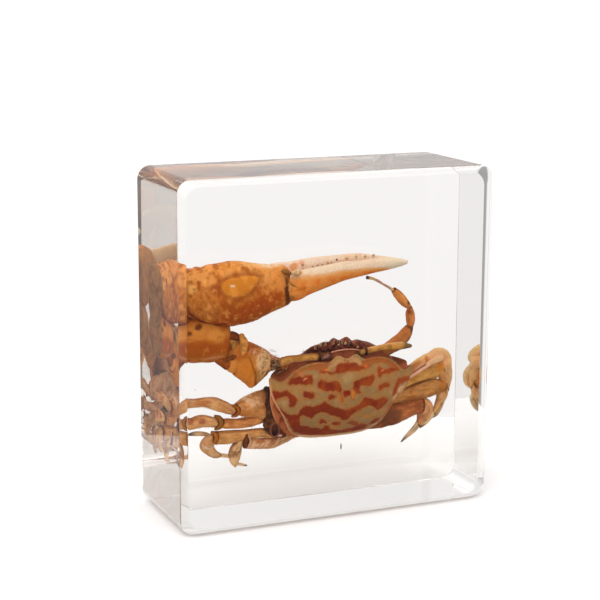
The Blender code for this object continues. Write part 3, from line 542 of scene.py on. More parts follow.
# Knobs of the mouthparts between the eyestalks: x, y, z, radius, then pale or dark
MOUTH_KNOBS = (
    (-4.0, 1.4, 35.5, 0.50, 0), (-3.2, 1.2, 35.9, 0.62, 0), (-2.1, 1.0, 35.8, 0.66, 0),
    (-1.2, 1.4, 36.4, 0.48, 1), (-0.6, 0.8, 35.7, 0.66, 0), (0.3, 1.4, 36.6, 0.52, 1),
    (1.1, 0.8, 35.7, 0.66, 0), (2.2, 1.0, 36.6, 0.56, 0), (2.4, 0.6, 35.6, 0.62, 0),
    (3.1, 0.9, 36.3, 0.30, 1), (3.7, 0.6, 35.8, 0.62, 0), (3.6, 1.2, 36.8, 0.46, 0),
    (4.8, 1.0, 36.4, 0.44, 1), (5.8, 1.0, 36.3, 0.40, 1), (5.4, 0.6, 35.6, 0.58, 0),
    (6.6, 0.7, 35.5, 0.58, 0), (7.5, 0.9, 35.4, 0.50, 1), (8.7, 1.2, 35.3, 0.40, 0),
    (8.2, 0.8, 34.6, 0.55, 0), (0.2, -0.2, 34.4, 0.72, 2), (-1.4, 0.0, 34.3, 0.66, 0),
    (9.3, -0.3, 34.3, 0.56, 0),
)
MOUTH_DARK = (100, 52, 40)
MOUTH_CREAM = (206, 170, 136)
MOUTH_MAUVE = (132, 84, 66)
BROW_LINE = ((1.0, -0.6, 35.1), (2.4, -1.0, 35.4), (4.0, -1.1, 35.5), (5.8, -1.0, 35.4), (7.6, -0.6, 35.0))
ABDOMEN_FLAP = (
    (4.3, 11.5, 18.2, 3.4, 0.7), (4.3, 12.3, 21.3, 3.2, 0.7), (4.3, 11.0, 26.2, 2.2, 0.7),
    (4.3, 9.5, 30.6, 1.2, 0.6),
)
ABDOMEN_SEGMENTS = 6
# Specks in the resin: place and size
SPECKS = ((4.7, 4.0, 12.5, 0.16, 0.75), (-30.5, 0.0, 29.6, 0.10, 0.10), (0.7, 0.0, 46.7, 0.09, 0.09))

# The raised oval on the palm, as (x, z)
CALLUS = (
    (-24.6, 51.5), (-24.0, 52.6), (-22.7, 53.1), (-20.9, 53.3), (-18.9, 53.5), (-17.0, 53.3),
    (-15.8, 52.8), (-16.5, 51.8), (-17.5, 50.8), (-18.6, 49.9), (-20.0, 49.3), (-21.4, 49.1),
    (-22.9, 49.6), (-24.1, 50.4),
)
CALLUS_HEIGHT = 0.22

# Spots on the claw, seen from the front: x, z, half length, half height, tilt, colour, strength
CLAW_SPOTS = {
    "palm": (
        (-12.0, 51.3, 1.81, 2.49, -10, (224, 146, 70), 0.75),
        (-15.5, 47.0, 5.89, 1.81, 14, (168, 76, 18), 0.75),
        (-20.5, 45.2, 4.98, 1.81, 8, (166, 80, 26), 0.7),
        (-12.5, 48.5, 2.27, 1.36, 10, (166, 74, 18), 0.6),
        (-27.7, 46.2, 3.4, 2.27, -20, (172, 104, 46), 0.85),
        (-12.2, 55.5, 3.62, 0.82, 2, (240, 216, 180), 0.9),
        (-16.6, 55.7, 2.72, 0.79, 3, (232, 184, 118), 0.7),
        (-21.1, 55.2, 1.7, 0.9, 0, (206, 136, 66), 0.8),
        (-25.4, 50.6, 1.3, 1.0, 10, (156, 78, 32), 0.75),
        (-23.6, 55.5, 0.91, 0.68, 0, (190, 112, 44), 0.7),
        (-18.8, 55.0, 0.91, 0.45, 0, (186, 106, 40), 0.6),
        (-25.4, 54.4, 0.91, 0.57, 20, (196, 118, 50), 0.6),
        (-15.9, 51.6, 0.79, 0.91, 0, (224, 150, 78), 0.7),
        (-30.8, 54.7, 0.72, 0.52, -10, (136, 62, 18), 0.8),
        (-31.0, 52.8, 0.5, 0.41, 0, (140, 66, 18), 0.7),
        (-29.3, 52.4, 0.45, 0.39, 0, (144, 70, 20), 0.7),
        (-28.7, 55.3, 0.45, 0.36, 0, (150, 78, 26), 0.6),
        (-27.2, 53.4, 0.5, 0.36, 0, (156, 78, 28), 0.6),
        (-25.9, 51.2, 1.02, 0.63, -15, (156, 72, 32), 0.8),
        (-24.5, 49.0, 1.13, 0.68, 20, (178, 88, 32), 0.5),
        (-30.7, 51.2, 1.13, 0.91, 0, (226, 170, 96), 0.7),
        (-31.7, 49.5, 0.68, 1.13, 0, (182, 108, 40), 0.6),
        (-31.1, 49.8, 0.34, 0.36, 0, (116, 56, 18), 0.8),
        (-31.7, 47.5, 0.41, 0.72, 20, (100, 50, 18), 0.85),
    ),
    "wrist": (
        (-27.9, 41.6, 6.79, 2.04, 0, (204, 132, 58), 0.6),
        (-29.1, 38.0, 7.25, 2.04, -2, (164, 80, 18), 0.8),
        (-25.2, 40.7, 1.81, 1.59, 0, (214, 144, 66), 0.6),
        (-29.0, 42.8, 0.86, 0.61, 20, (84, 44, 16), 0.95),
        (-31.1, 41.6, 0.63, 0.54, 0, (104, 48, 16), 0.9),
        (-23.6, 42.1, 0.68, 0.68, 0, (180, 104, 36), 0.7),
        (-26.3, 39.5, 0.91, 0.45, 0, (176, 94, 28), 0.6),
        (-32.1, 45.0, 1.81, 0.91, 0, (206, 104, 24), 0.7),
        (-25.9, 35.8, 2.27, 0.36, 4, (206, 142, 100), 0.7),
    ),
    "arm": (
        (-21.7, 32.9, 4.08, 2.04, -38, (228, 156, 76), 0.7),
        (-18.5, 32.1, 2.49, 2.94, -20, (204, 124, 46), 0.8),
        (-17.4, 29.3, 1.13, 1.81, 10, (216, 132, 52), 0.8),
        (-16.8, 36.9, 1.9, 1.2, -30, (178, 94, 42), 0.9),
        (-17.6, 36.5, 0.45, 0.45, 0, (206, 134, 76), 0.6),
        (-14.3, 33.9, 1.81, 2.49, 0, (248, 206, 150), 0.85),
        (-14.8, 30.4, 1.13, 2.04, 15, (204, 154, 92), 0.8),
        (-12.0, 35.7, 1.81, 0.5, -18, (196, 136, 104), 0.7),
        (-24.0, 34.6, 2.04, 0.91, -12, (158, 74, 30), 0.85),
    ),
    "arm_base": ((-11.5, 32.8, 1.3, 1.5, 0, (92, 54, 34), 0.9),
                 (-12.0, 34.6, 1.8, 0.5, -18, (196, 136, 104), 0.7)),
    "moving_finger": (
        (-6.4, 53.3, 1.13, 0.68, 0, (236, 206, 158), 0.8),
        (-8.5, 50.4, 0.68, 0.68, 0, (214, 150, 88), 0.8),
        (-6.9, 51.1, 1.36, 0.91, 10, (212, 134, 62), 0.7),
        (-6.2, 49.7, 1.36, 0.45, 10, (182, 98, 30), 0.7),
        (-8.3, 47.7, 0.68, 0.79, 0, (136, 92, 44), 0.8),
    ),
    "fixed_finger": (
        (-7.2, 54.2, 1.3, 0.8, 20, (206, 136, 76), 0.85), (-5.1, 54.9, 0.68, 0.45, 0, (210, 146, 106), 0.7),
    ),
}
# The ridge that runs down the arm, with a dark line of painted shade along it
ARM_RIDGE = ((-17.8, 35.4), (-17.1, 33.3), (-16.2, 31.0), (-16.1, 27.9))
ARM_RIDGE_HEIGHT = 0.35
ARM_RIDGE_WIDTH = 0.7
# Creases on the claw as (x, z) lines, with half width, colour and strength. The dark ones are painted shade
# in the creases, at the palm's lower edge and in the gap between the palm and the moving finger; the fixed
# finger's pale one is a pale line.
CLAW_CREASES = {
    "palm": (
        (((-32.1, 48.7), (-31.7, 47.2), (-30.8, 45.8), (-29.5, 44.7), (-27.7, 43.6), (-25.8, 43.0),
          (-23.2, 43.0)), 0.29, (116, 58, 18), 0.85),
        (((-9.6, 53.7), (-8.8, 52.8), (-9.3, 51.5), (-8.9, 50.8), (-9.5, 50.0), (-9.2, 48.2),
          (-8.9, 46.6)), 0.50, (78, 40, 20), 0.95),
    ),
    "arm": (
        (ARM_RIDGE, 0.20, (120, 62, 18), 0.7),
        (((-16.2, 27.7), (-14.8, 29.8), (-13.2, 31.6)), 0.18, (90, 54, 24), 0.8),
        (((-18.1, 38.3), (-17.9, 36.9)), 0.27, (66, 34, 16), 0.8),
    ),
    "moving_finger": (
        (((-9.9, 52.0), (-8.5, 50.9), (-7.4, 50.2)), 0.16, (104, 54, 22), 0.8),
        (((-9.0, 53.6), (-8.8, 52.8), (-9.3, 51.5), (-8.7, 50.6), (-9.3, 49.6), (-9.0, 46.6)), 0.35,
         (72, 36, 18), 0.95),
    ),
    "fixed_finger": ((((-9.3, 55.6), (-8.6, 54.6), (-7.9, 53.2)), 0.20, (246, 214, 200), 0.9),),
}
# Ground and patch colours of each leg
LEG_PAINT = {
    "left_first": ((200, 142, 84), (178, 100, 52)),
    "left_second": ((210, 148, 86), (184, 108, 68)),
    "left_third": ((210, 158, 100), (188, 126, 70)),
    "left_fourth": ((204, 160, 114), (182, 108, 70)),
    "right_first": ((240, 186, 128), (216, 148, 94)),
    "right_second": ((204, 154, 84), (186, 124, 62)),
    "right_third": ((192, 138, 80), (162, 98, 50)),
    "right_fourth": ((182, 112, 68), (146, 74, 42)),
}
SHIN_PALE = (236, 194, 146)
CLAW_PALE = (240, 206, 166)
CLAW_TIP = (120, 106, 96)
# Dull colours of the skin that faces away from the front, pale and dark
CLAW_BELOW = ((176, 122, 68), (140, 88, 46))
FINGER_BELOW = ((212, 172, 126), (190, 140, 94))
LEG_BELOW = ((208, 160, 116), (156, 94, 62))
# Spots on the legs, as for the claw
LEG_SPOTS = (
    (27.0, 30.0, 0.7, 0.9, 30, (160, 84, 26), 0.8), (30.6, 27.7, 0.8, 0.9, 10, (196, 116, 36), 0.8),
    (31.8, 24.5, 0.9, 0.7, 0, (196, 118, 40), 0.8), (22.3, 28.2, 3.2, 0.9, 27, (170, 100, 46), 0.8),
    (-27.4, 25.4, 2.04, 0.54, 4, (176, 92, 44), 0.7), (-31.9, 25.7, 1.13, 1.13, 0, (190, 112, 50), 0.7),
    (-23.0, 23.9, 1.81, 1.13, -30, (202, 144, 86), 0.5), (-27.4, 21.2, 0.79, 0.63, 0, (164, 92, 66), 0.8),
    (-30.1, 21.4, 0.79, 0.68, 0, (158, 84, 62), 0.8), (-31.5, 21.4, 1.13, 1.13, 0, (190, 124, 94), 0.6),
    (-16.6, 24.8, 1.59, 0.60, -20, (234, 202, 166), 0.7), (-17.5, 22.4, 1.36, 0.91, 0, (190, 116, 52), 0.7),
    (-14.7, 24.8, 1.36, 1.59, 0, (196, 144, 98), 0.5), (-13.4, 15.1, 1.81, 0.60, 10, (180, 96, 62), 0.6),
    (-15.1, 14.2, 1.36, 0.45, 10, (222, 186, 148), 0.7), (-11.5, 14.0, 1.81, 0.50, 10, (184, 112, 82), 0.6),
    (-25.4, 14.9, 1.3, 0.5, 0, (226, 192, 158), 0.8), (-24.2, 12.9, 1.2, 0.5, 0, (222, 188, 146), 0.7),
    (-26.4, 17.0, 0.8, 1.0, 0, (206, 160, 124), 0.7), (24.4, 28.3, 3.0, 0.42, 27, (232, 190, 156), 0.9),
    (29.5, 30.6, 2.4, 1.2, 0, (232, 180, 138), 0.8), (33.0, 26.4, 0.9, 3.0, 0, (206, 162, 116), 0.6),
    (30.4, 27.6, 1.4, 0.9, 30, (198, 128, 56), 0.7), (31.6, 23.2, 1.0, 0.8, 0, (190, 122, 56), 0.7),
    (24.5, 24.4, 4.5, 0.36, 14, (120, 72, 40), 0.7), (18.6, 16.9, 2.6, 2.0, 30, (110, 68, 46), 0.8),
    (23.0, 20.6, 3.5, 0.9, 12, (150, 88, 48), 0.7), (23.5, 16.6, 2.4, 0.7, 20, (176, 112, 74), 0.6),
)
# Painted shade where the legs meet the body
ROOT_SHADE = (72, 44, 30)
# Hinge plates at the left knees, as curved ridges: stations (x, y, z, half height, half depth), colour
KNEES = (
    (((-20.6, 5.8, 24.3, 0.3, 0.5), (-19.7, 5.5, 23.8, 0.5, 0.6), (-19.35, 5.5, 22.9, 0.6, 0.6),
      (-19.8, 5.6, 22.2, 0.5, 0.6), (-20.7, 5.8, 21.8, 0.25, 0.5)), (158, 90, 34)),
    (((-24.4, 7.0, 22.1, 0.35, 0.5), (-23.4, 6.8, 21.4, 0.65, 0.6), (-23.1, 6.8, 20.5, 0.8, 0.7),
      (-23.5, 6.9, 19.6, 0.6, 0.6), (-24.4, 7.1, 19.1, 0.3, 0.5)), (150, 98, 46)),
    (((-25.1, 7.3, 18.5, 0.35, 0.5), (-24.3, 7.2, 17.9, 0.65, 0.6), (-24.2, 7.2, 17.0, 0.75, 0.6),
      (-24.6, 7.4, 16.2, 0.4, 0.5)), (166, 100, 40)),
    (((-17.0, 7.6, 16.9, 0.35, 0.5), (-17.1, 7.5, 15.9, 0.65, 0.6), (-17.3, 7.5, 15.0, 0.7, 0.6),
      (-17.5, 7.7, 14.2, 0.35, 0.5)), (118, 66, 34)),
)
# Pale edges and bars of the legs, with the same five values a station; the fourth is a painted highlight at
# the right first leg's knee
PALE_BARS = (
    (((-16.8, 7.7, 16.9, 0.14, 0.2), (-16.1, 7.5, 15.6, 0.2, 0.3), (-16.7, 7.6, 13.9, 0.14, 0.2)),
     (226, 188, 156)),
    (((-27.1, 8.4, 15.6, 0.12, 0.2), (-26.1, 8.2, 14.8, 0.22, 0.3), (-24.5, 8.5, 14.9, 0.12, 0.2)),
     (240, 216, 190)),
    (((22.0, 5.3, 26.6, 0.36, 0.3), (24.6, 5.5, 27.8, 0.36, 0.3), (27.0, 5.8, 28.9, 0.36, 0.3)),
     (224, 178, 148)),
    # Painted highlight at the right first leg's knee
    (((26.8, 6.6, 28.9, 0.5, 0.5), (28.6, 6.9, 29.6, 0.8, 0.6), (30.8, 7.9, 30.0, 0.8, 0.6)),
     (228, 186, 142)),
    (((30.6, 8.4, 26.6, 0.6, 0.5), (31.4, 8.8, 25.6, 0.9, 0.6), (31.6, 9.0, 24.6, 0.6, 0.5)), (198, 142, 84)),
    (((-19.7, 8.5, 15.2, 0.2, 0.3), (-18.7, 8.2, 16.1, 0.3, 0.4), (-17.4, 7.8, 16.7, 0.25, 0.3)),
     (104, 70, 48)),
)

# Bristles at the mouth's left corner
MOUTH_HAIRS = (
    ((-4.6, 0.8, 34.9), (-6.0, 0.3, 35.7)), ((-4.8, 0.8, 34.7), (-5.6, 0.2, 36.2)),
    ((-5.0, 0.6, 34.6), (-6.6, 0.2, 35.2)), ((9.6, 0.4, 34.6), (9.9, 0.0, 35.9)),
)
SMALL_CLAW_SPOTS = (
    (17.6, 47.7, 0.45, 0.45, 0, (104, 62, 32), 0.9), (21.0, 44.2, 0.50, 0.54, 0, (92, 54, 30), 0.9),
    (21.7, 37.8, 0.45, 0.68, 0, (100, 54, 34), 0.9), (21.0, 42.0, 0.45, 0.45, 0, (124, 66, 40), 0.8),
    (16.9, 47.3, 0.34, 0.45, 0, (114, 66, 40), 0.8), (19.4, 45.4, 0.60, 0.90, 35, (228, 150, 84), 0.6),
    (22.0, 40.4, 0.40, 1.00, 0, (206, 134, 84), 0.6), (19.0, 35.2, 1.60, 0.50, 40, (196, 126, 70), 0.6),
)
# A rounded joint of the left legs beside the body, a small pale knob on it that is a painted highlight, and a
# rounded joint of the right: centre, radii, colour
COXAE_AND_HIGHLIGHT = (
    ((-10.9, 5.6, 17.8), (0.9, 0.4, 1.4), (84, 48, 38)), ((-9.7, 5.4, 16.3), (0.6, 0.4, 0.35),
                                                          (206, 168, 148)),
    ((15.4, 8.0, 17.3), (0.45, 0.45, 0.45), (196, 168, 140)),
)
# The ring round the first of them: its middle, half width and half height
COXA_RING = (-10.9, 5.3, 17.8, 1.0, 1.6)
# Dark tubes at the roots of the legs, on the left and on the right of the body: painted shade in the space
# between the legs and the body
LEG_ROOT_SHADE = (
    ((-12.4, 7.0, 27.0, 0.6, 1.2), (-12.3, 6.8, 24.5, 1.2, 1.6), (-11.6, 6.8, 21.5, 1.7, 1.6),
     (-11.0, 6.8, 18.3, 1.9, 1.5), (-9.5, 7.2, 16.6, 1.1, 1.3), (-8.2, 7.8, 16.0, 0.6, 1.0)),
    ((15.0, 7.4, 20.5, 1.6, 1.4), (14.5, 7.6, 18.0, 1.8, 1.4), (12.5, 8.2, 16.4, 1.2, 1.2)),
)
# Sides round a limb and spacing along it
CLAW_WIDE_SIDES = 112
CLAW_SIDES = 64
CLAW_STEP = 0.26
THIGH_SIDES = 36
SHIN_SIDES = 28
LEG_STEP = 0.22
# How far a leg widens before its far joint, and how deep in the block the claw's teeth lie
LEG_FLARE = 0.10
TEETH_DEPTH = 2.5
# Dark rings at the inner ends of the eyestalks: centre, radii, colour
EYESTALK_RINGS = (
    ((-1.9, -0.9, 34.4), (0.42, 1.0, 1.05), (90, 54, 36)), ((9.3, -0.8, 34.6), (0.38, 0.95, 0.95),
                                                            (92, 56, 34)),
)
# Tufts of hair on the arm: middle, reach to both sides together, seed
ARM_TUFTS = (((-13.4, 1.9, 34.0), (3.2, 1.0, 5.2), 3), ((-11.2, 2.6, 32.6), (1.6, 0.8, 3.6), 9))
ARM_HAIRS = 60
# Half the thickness of the hairs, and how many a leg carries for each millimetre
HAIR_THICK = 0.035
LEG_HAIRS_PER_MM = 1.6
LEG_HAIR_THICK = 0.03
# Skin further left than this is pressed in, by this much at most beyond it
LEFT_ROOM = -35.3
LEFT_GIVE = 0.8

# Colours as they are seen in the block; the paint itself is lighter by PAINT_GAIN,
# and without the faint haze of the room mirrored in the front face
PAINT_GAIN = (1.28, 1.21, 1.15)
PAINT_HAZE = 0.011
PAINT_MOST = 0.92
PAINT_LEAST = 0.001
# The back: how uneven its painted edges are, in millimetres, then its ground, its marks and its rim
MARK_WOBBLE = 0.20
GROUND_TAN = (166, 124, 74)
GROUND_GREY = (152, 122, 80)
GROUND_PALE = (184, 142, 92)
GROUND_BROWN = (136, 98, 60)
GROUND_GOLD = (182, 128, 66)
GROUND_OLIVE = (150, 130, 88)
DARK_MARK = (132, 52, 22)
DARK_MARK_LIGHT = (156, 72, 32)
DARK_MARK_DEEP = (104, 40, 24)
MARK_HALO = (174, 104, 58)
BRIGHT_MARK = (146, 50, 18)
PALE_MARK = (184, 142, 94)
ORANGE = (164, 90, 44)
RIM_PINK = (214, 158, 122)
RIM_RUST = (176, 108, 66)
RIM_CREAM = (212, 178, 138)
# The walls, the belly and the left flank
MAROON = (158, 88, 58)
MAROON_DARK = (134, 72, 48)
WALL_RUST = (178, 104, 64)
WALL_RUST_DARK = (138, 74, 46)
WALL_LINE = (196, 134, 100)
WALL_REAR = (210, 178, 140)
WALL_TOP = (176, 112, 80)
BELLY_TAN = (190, 148, 104)
BELLY_BROWN = (150, 98, 62)
FLANK_RUST = (184, 108, 66)
FLANK_DARK = (146, 78, 48)
# Painted highlight line on the flank's ridge
FLANK_HIGHLIGHT = (206, 152, 118)
FLAP_TAN = (206, 164, 116)
FLAP_SEAM = (150, 92, 56)
# The large claw
SHELL_AMBER = (192, 118, 50)
SHELL_GOLD = (210, 142, 74)
SHELL_RUST = (156, 74, 22)
PALM_CLOUD = (172, 98, 40)
PALM_LIGHT = (220, 154, 82)
PALM_FLECK = (150, 70, 20)
PALM_PALE_FLECK = (230, 158, 84)
PALM_GRAIN = (220, 144, 74)
PALM_DARK_GRAIN = (148, 74, 26)
CALLUS_RING = (150, 78, 30)
CALLUS_GOLD = (200, 124, 42)
CALLUS_LIGHT = (216, 142, 60)
# Painted highlight on the palm's raised oval
CALLUS_HIGHLIGHT = (255, 236, 196)
FINGER_ORANGE = (240, 154, 74)
FINGER_DEEP = (228, 124, 50)
FINGER_FLECK = (236, 170, 100)
FINGER_WHITE = (230, 210, 184)
FINGER_GREY = (218, 194, 168)
FINGER_TIP = (255, 240, 212)
FINGER_BAND = (238, 180, 106)
FINGER_LOW = (170, 92, 30)
# How high on the moving finger the white begins, from its lower edge at -1 to its upper at 1: x, height
FINGER_BORDER = ((-9.0, 0.7), (-7.0, 0.5), (0.0, 0.15), (5.0, 0.0), (9.5, -0.15), (14.0, -0.6), (18.0, -1.5))
FIXED_CREAM = (236, 214, 192)
FIXED_PINK = (226, 194, 170)
# Painted shade on the fixed finger's lower side
FIXED_SHADE = (206, 164, 132)
WRIST_AMBER = (190, 120, 52)
WRIST_RUST = (168, 86, 24)
WRIST_FLECK = (146, 74, 20)
WRIST_PALE_FLECK = (222, 156, 80)
ARM_AMBER = (184, 118, 52)
ARM_RUST = (170, 92, 34)
ARM_STREAK = (120, 78, 40)
ARM_PALE_STREAK = (232, 204, 156)
# The small claw, the eyestalks and the smaller parts
SMALL_CLAW_GROUND = {"arm": (176, 112, 62), "wrist": (188, 118, 66), "palm": (206, 136, 74)}
SMALL_CLAW_PATCHES = (150, 84, 44)
EYESTALK_GOLD = (196, 144, 74)
EYESTALK_BROWN = (170, 116, 56)
BROW_PINK = (206, 142, 118)
JOINT_BROWN = (70, 38, 20)
SPECK_GREY = (96, 84, 70)
HAIR_DARK = (74, 46, 28)
HAIR_BROWN = (140, 100, 62)
HAIR_PALE = (214, 184, 140)
BRISTLE_PALE = (184, 146, 108)


def linear(colour):
    """A colour from sRGB 0 to 255, as linear values from 0 to 1."""
    c = np.array(colour, float) / 255.0
    return np.where(c <= 0.04045, c / 12.92, ((c + 0.055) / 1.055) ** 2.4)


def smooth(low, high, x):
    """0 below low, 1 above high, with a smooth rise between."""
    t = np.clip((x - low) / (high - low), 0.0, 1.0)
    return t * t * (3.0 - 2.0 * t)


def bell(x, middle, width):
    """1 at the middle, falling off to both sides within about the width."""
    return np.exp(-((x - middle) / width) ** 2)


def corner_value(cell, seed):
    """A fixed value from -1 to 1 for each whole-number corner of space."""
    a, b, c, d = SCRAMBLE
    h = cell[:, 0] * a + cell[:, 1] * b + cell[:, 2] * c + seed * d
    h = h & SCRAMBLE_MASK
    h = ((h ^ (h >> 13)) * SCRAMBLE_AGAIN) & SCRAMBLE_MASK
    h = h ^ (h >> 16)
    return h / (SCRAMBLE_MASK / 2) - 1.0


def noise(points, size, seed=0, octaves=1):
    """Smooth noise from about -1 to 1 at points, with lumps of the given size."""
    total = np.zeros(len(points))
    weight = 1.0
    for octave in range(octaves):
        p = points / size * 2.0 ** octave + NOISE_SHIFT * (octave + seed)
        cell = np.floor(p).astype(np.int64)
        t = p - cell
        t = t * t * (3.0 - 2.0 * t)
        value = np.zeros(len(points))
        for corner in range(8):
            step = np.array((corner & 1, corner >> 1 & 1, corner >> 2 & 1))
            share = np.prod(np.where(step == 1, t, 1.0 - t), axis=1)
            value += share * corner_value(cell + step, seed + octave)
        total += weight * value
        weight *= 0.5
    return total


def scatter(count, seed):
    """Fixed values from 0 to 1, three in each row."""
    cells = np.arange(count)[:, None] * np.array((1, 3, 7)) + seed
    return np.stack([(corner_value(cells + k, seed + k) + 1) / 2 for k in range(3)], axis=1)


def turned_outwards(points, faces):
    """The same faces, all turned round if they look towards their own middle."""
    p = points - points.mean(axis=0)
    volume = 0.0
    for count in {len(face) for face in faces}:
        f = np.array([face for face in faces if len(face) == count])
        for i in range(1, count - 1):
            volume += (np.cross(p[f[:, 0]], p[f[:, i]]) * p[f[:, i + 1]]).sum()
    return faces if volume >= 0.0 else [face[::-1] for face in faces]


def kept_inside(points):
    """Press what comes close to the left wall softly back into the block."""
    over = np.maximum(LEFT_ROOM - points[:, 0], 0.0)
    points[:, 0] = np.maximum(points[:, 0], LEFT_ROOM) - LEFT_GIVE * (1.0 - np.exp(-over / LEFT_GIVE))
    return points


def band(near, far, count, turned=False):
    """Four-sided faces between two rings of points, given the number of each ring's first point."""
    faces = []
    for k in range(count):
        m = (k + 1) % count
        if turned:
            faces.append((near + k, near + m, far + m, far + k))
        else:
            faces.append((near + k, far + k, far + m, near + m))
    return faces


def new_object(name, data):
    """An object in the scene that shows the data."""
    made = bpy.data.objects.new(name, data)
    bpy.context.scene.collection.objects.link(made)
    return made


class Surface:
    """Collects the points, faces and colours of one piece."""

    def __init__(self):
        self.points, self.faces, self.colours = [], [], []
        self.count = 0

    def add(self, points, faces, colours):
        """Add a closed skin."""
        for face in turned_outwards(points, faces):
            self.faces.append(tuple(i + self.count for i in face))
        self.points.append(points)
        self.colours.append(colours)
        self.count += len(points)

    def add_tube(self, tube, colours):
        """Add a limb segment."""
        self.add(tube.points, tube.faces(), colours)

    def build(self, name, material):
        """Make the piece, with its colours as seen turned into paint."""
        mesh = bpy.data.meshes.new(name)
        mesh.from_pydata((kept_inside(np.concatenate(self.points)) * MM).tolist(), [], self.faces)
        mesh.shade_smooth()
        paint = mesh.color_attributes.new("paint", "FLOAT_COLOR", "POINT")
        colours = np.maximum(np.concatenate(self.colours) - PAINT_HAZE, PAINT_LEAST) * PAINT_GAIN
        colours *= np.minimum(1.0, PAINT_MOST / colours.max(axis=1, keepdims=True))
        rgba = np.concatenate((colours, np.ones((len(colours), 1))), axis=1)
        paint.data.foreach_set("color", rgba.astype(np.float32).ravel())
        mesh.materials.append(material)
        return new_object(name, mesh)


def between(values, slope, i, t, h=1.0):
    """Smooth values between the rows i and i + 1, at the share t of the step h."""
    return ((2 * t**3 - 3 * t**2 + 1) * values[i] + (t**3 - 2 * t**2 + t) * h * slope[i]
            + (3 * t**2 - 2 * t**3) * values[i + 1] + (t**3 - t**2) * h * slope[i + 1])


def smooth_path(stations, step):
    """A smooth curve through the stations, all their columns together, at about the given spacing."""
    p = np.array(stations, float)
    s = np.concatenate(((0.0,), np.cumsum(np.linalg.norm(np.diff(p[:, :3], axis=0), axis=1))))
    slope = np.gradient(p, s, axis=0)
    at = np.linspace(0.0, s[-1], max(LEAST_RINGS, int(s[-1] / step) + 1))
    i = np.clip(np.searchsorted(s, at, side="right") - 1, 0, len(s) - 2)
    h = (s[i + 1] - s[i])[:, None]
    return between(p, slope, i, (at - s[i])[:, None] / h, h)


def ring_axes(centre):
    """At each place of a path: the direction along it, the one into the depth, and the one across both."""
    along = np.gradient(centre, axis=0)
    along /= np.linalg.norm(along, axis=1)[:, None]
    depth_axis = np.array((0.0, 1.0, 0.0))
    deep = depth_axis - (along @ depth_axis)[:, None] * along
    deep /= np.linalg.norm(deep, axis=1)[:, None]
    return along, deep, np.cross(along, deep)


def rounded_rows(count, cap):
    """The rings of a tube with round ends: the station of each, its shift along and its share of the size."""
    angles = np.radians(CAP_ANGLES)
    rows = [(0, -sin(a), cos(a)) for a in angles]
    rows += [(i, 0.0, 1.0) for i in range(count)]
    rows += [(count - 1, sin(a), cos(a)) for a in angles[::-1]]
    index, shift, scale = (np.array(column) for column in zip(*rows))
    return index, shift * cap, scale


class Tube:
    """A limb segment: a closed skin over rings, with rounded ends.

    along runs from 0 to 1 over its length, up and front tell where on the ring a point is,
    and out is the direction away from the middle.
    """

    def __init__(self, stations, sides=24, step=0.4, power=2.3, cap=0.7, least=0.08):
        path = smooth_path(stations, step)
        centre = path[:, :3]
        half = np.maximum(path[:, 3:5], least)
        along, deep, across = ring_axes(centre)
        index, shift, scale = rounded_rows(len(path), cap)
        self.rows, self.sides = len(index), sides
        self.length = float(np.linalg.norm(np.diff(centre, axis=0), axis=1).sum())

        angle = 2 * pi * (np.arange(sides) + 0.5) / sides
        c, s = np.cos(angle), np.sin(angle)
        up = np.sign(c) * np.abs(c) ** (2.0 / power)
        front = -np.sign(s) * np.abs(s) ** (2.0 / power)
        high, thick = (half[index] * scale[:, None]).T[:, :, None]
        a, d = across[index][:, None], deep[index][:, None]
        ring = a * (high * up)[..., None] - d * (thick * front)[..., None]
        middle = centre[index] + along[index] * (shift * half[index].mean(axis=1))[:, None]
        points = (middle[:, None] + ring).reshape(-1, 3)

        out = a * (thick * c)[..., None] - d * (high * -s)[..., None]
        out = out / np.maximum(np.linalg.norm(out, axis=2, keepdims=True), 1e-9)
        out = out + along[index][:, None] * (shift / max(cap, 0.01) * CAP_LEAN)[:, None, None]
        out /= np.linalg.norm(out, axis=2, keepdims=True)

        ends = (points[:sides].mean(axis=0), points[-sides:].mean(axis=0))
        self.points = np.concatenate((points, ends))
        self.out = np.concatenate((out.reshape(-1, 3), (-along[0], along[-1])))
        self.along = np.concatenate((np.repeat(index / max(len(path) - 1, 1), sides), (0.0, 1.0)))
        self.up = np.concatenate((np.tile(c, self.rows), (0.0, 0.0)))
        self.front = np.concatenate((np.tile(-s, self.rows), (0.0, 0.0)))

    def faces(self):
        """Bands from ring to ring, and a fan at each end."""
        faces = []
        for i in range(self.rows - 1):
            faces += band(i * self.sides, (i + 1) * self.sides, self.sides, turned=True)
        last_ring = (self.rows - 1) * self.sides
        start, end = len(self.points) - 2, len(self.points) - 1
        for k in range(self.sides):
            m = (k + 1) % self.sides
            faces += [(start, m, k), (end, last_ring + k, last_ring + m)]
        return faces

    def push(self, amount):
        """Move the skin outwards by an amount for each point."""
        self.points = self.points + self.out * amount[:, None]

    def roughen(self, amount, size, seed):
        """Make the skin uneven, with lumps of the given size."""
        self.push(amount * noise(self.points, size, seed, 2))

    def places(self, size, amount, seed):
        """The x and z of the points, shifted a little by noise so that painted edges are uneven."""
        return (self.points[:, 0] + amount * noise(self.points, size, seed, 2),
                self.points[:, 2] + amount * noise(self.points, size, seed + 1, 2))


def tint(count, colour):
    """One colour for all points."""
    return np.tile(linear(colour), (count, 1))


def lay(base, other, weight):
    """One set of colours over another, with a weight for each point."""
    return base * (1.0 - weight[:, None]) + other * weight[:, None]


def mix(base, colour, weight):
    """One colour over a set of colours, with a weight for each point."""
    return lay(base, linear(colour), weight)


def mottle(base, paint, strength, rise, points, size, seed, octaves=2, where=1.0):
    """One colour over a set of colours, in soft patches where the noise goes through the rise."""
    return mix(base, paint, strength * where * smooth(*rise, noise(points, size, seed, octaves)))


def marble(first, second, rise, points, size, seed, octaves=2):
    """One colour with soft patches of a second."""
    return mottle(tint(len(points), first), second, 1.0, rise, points, size, seed, octaves)


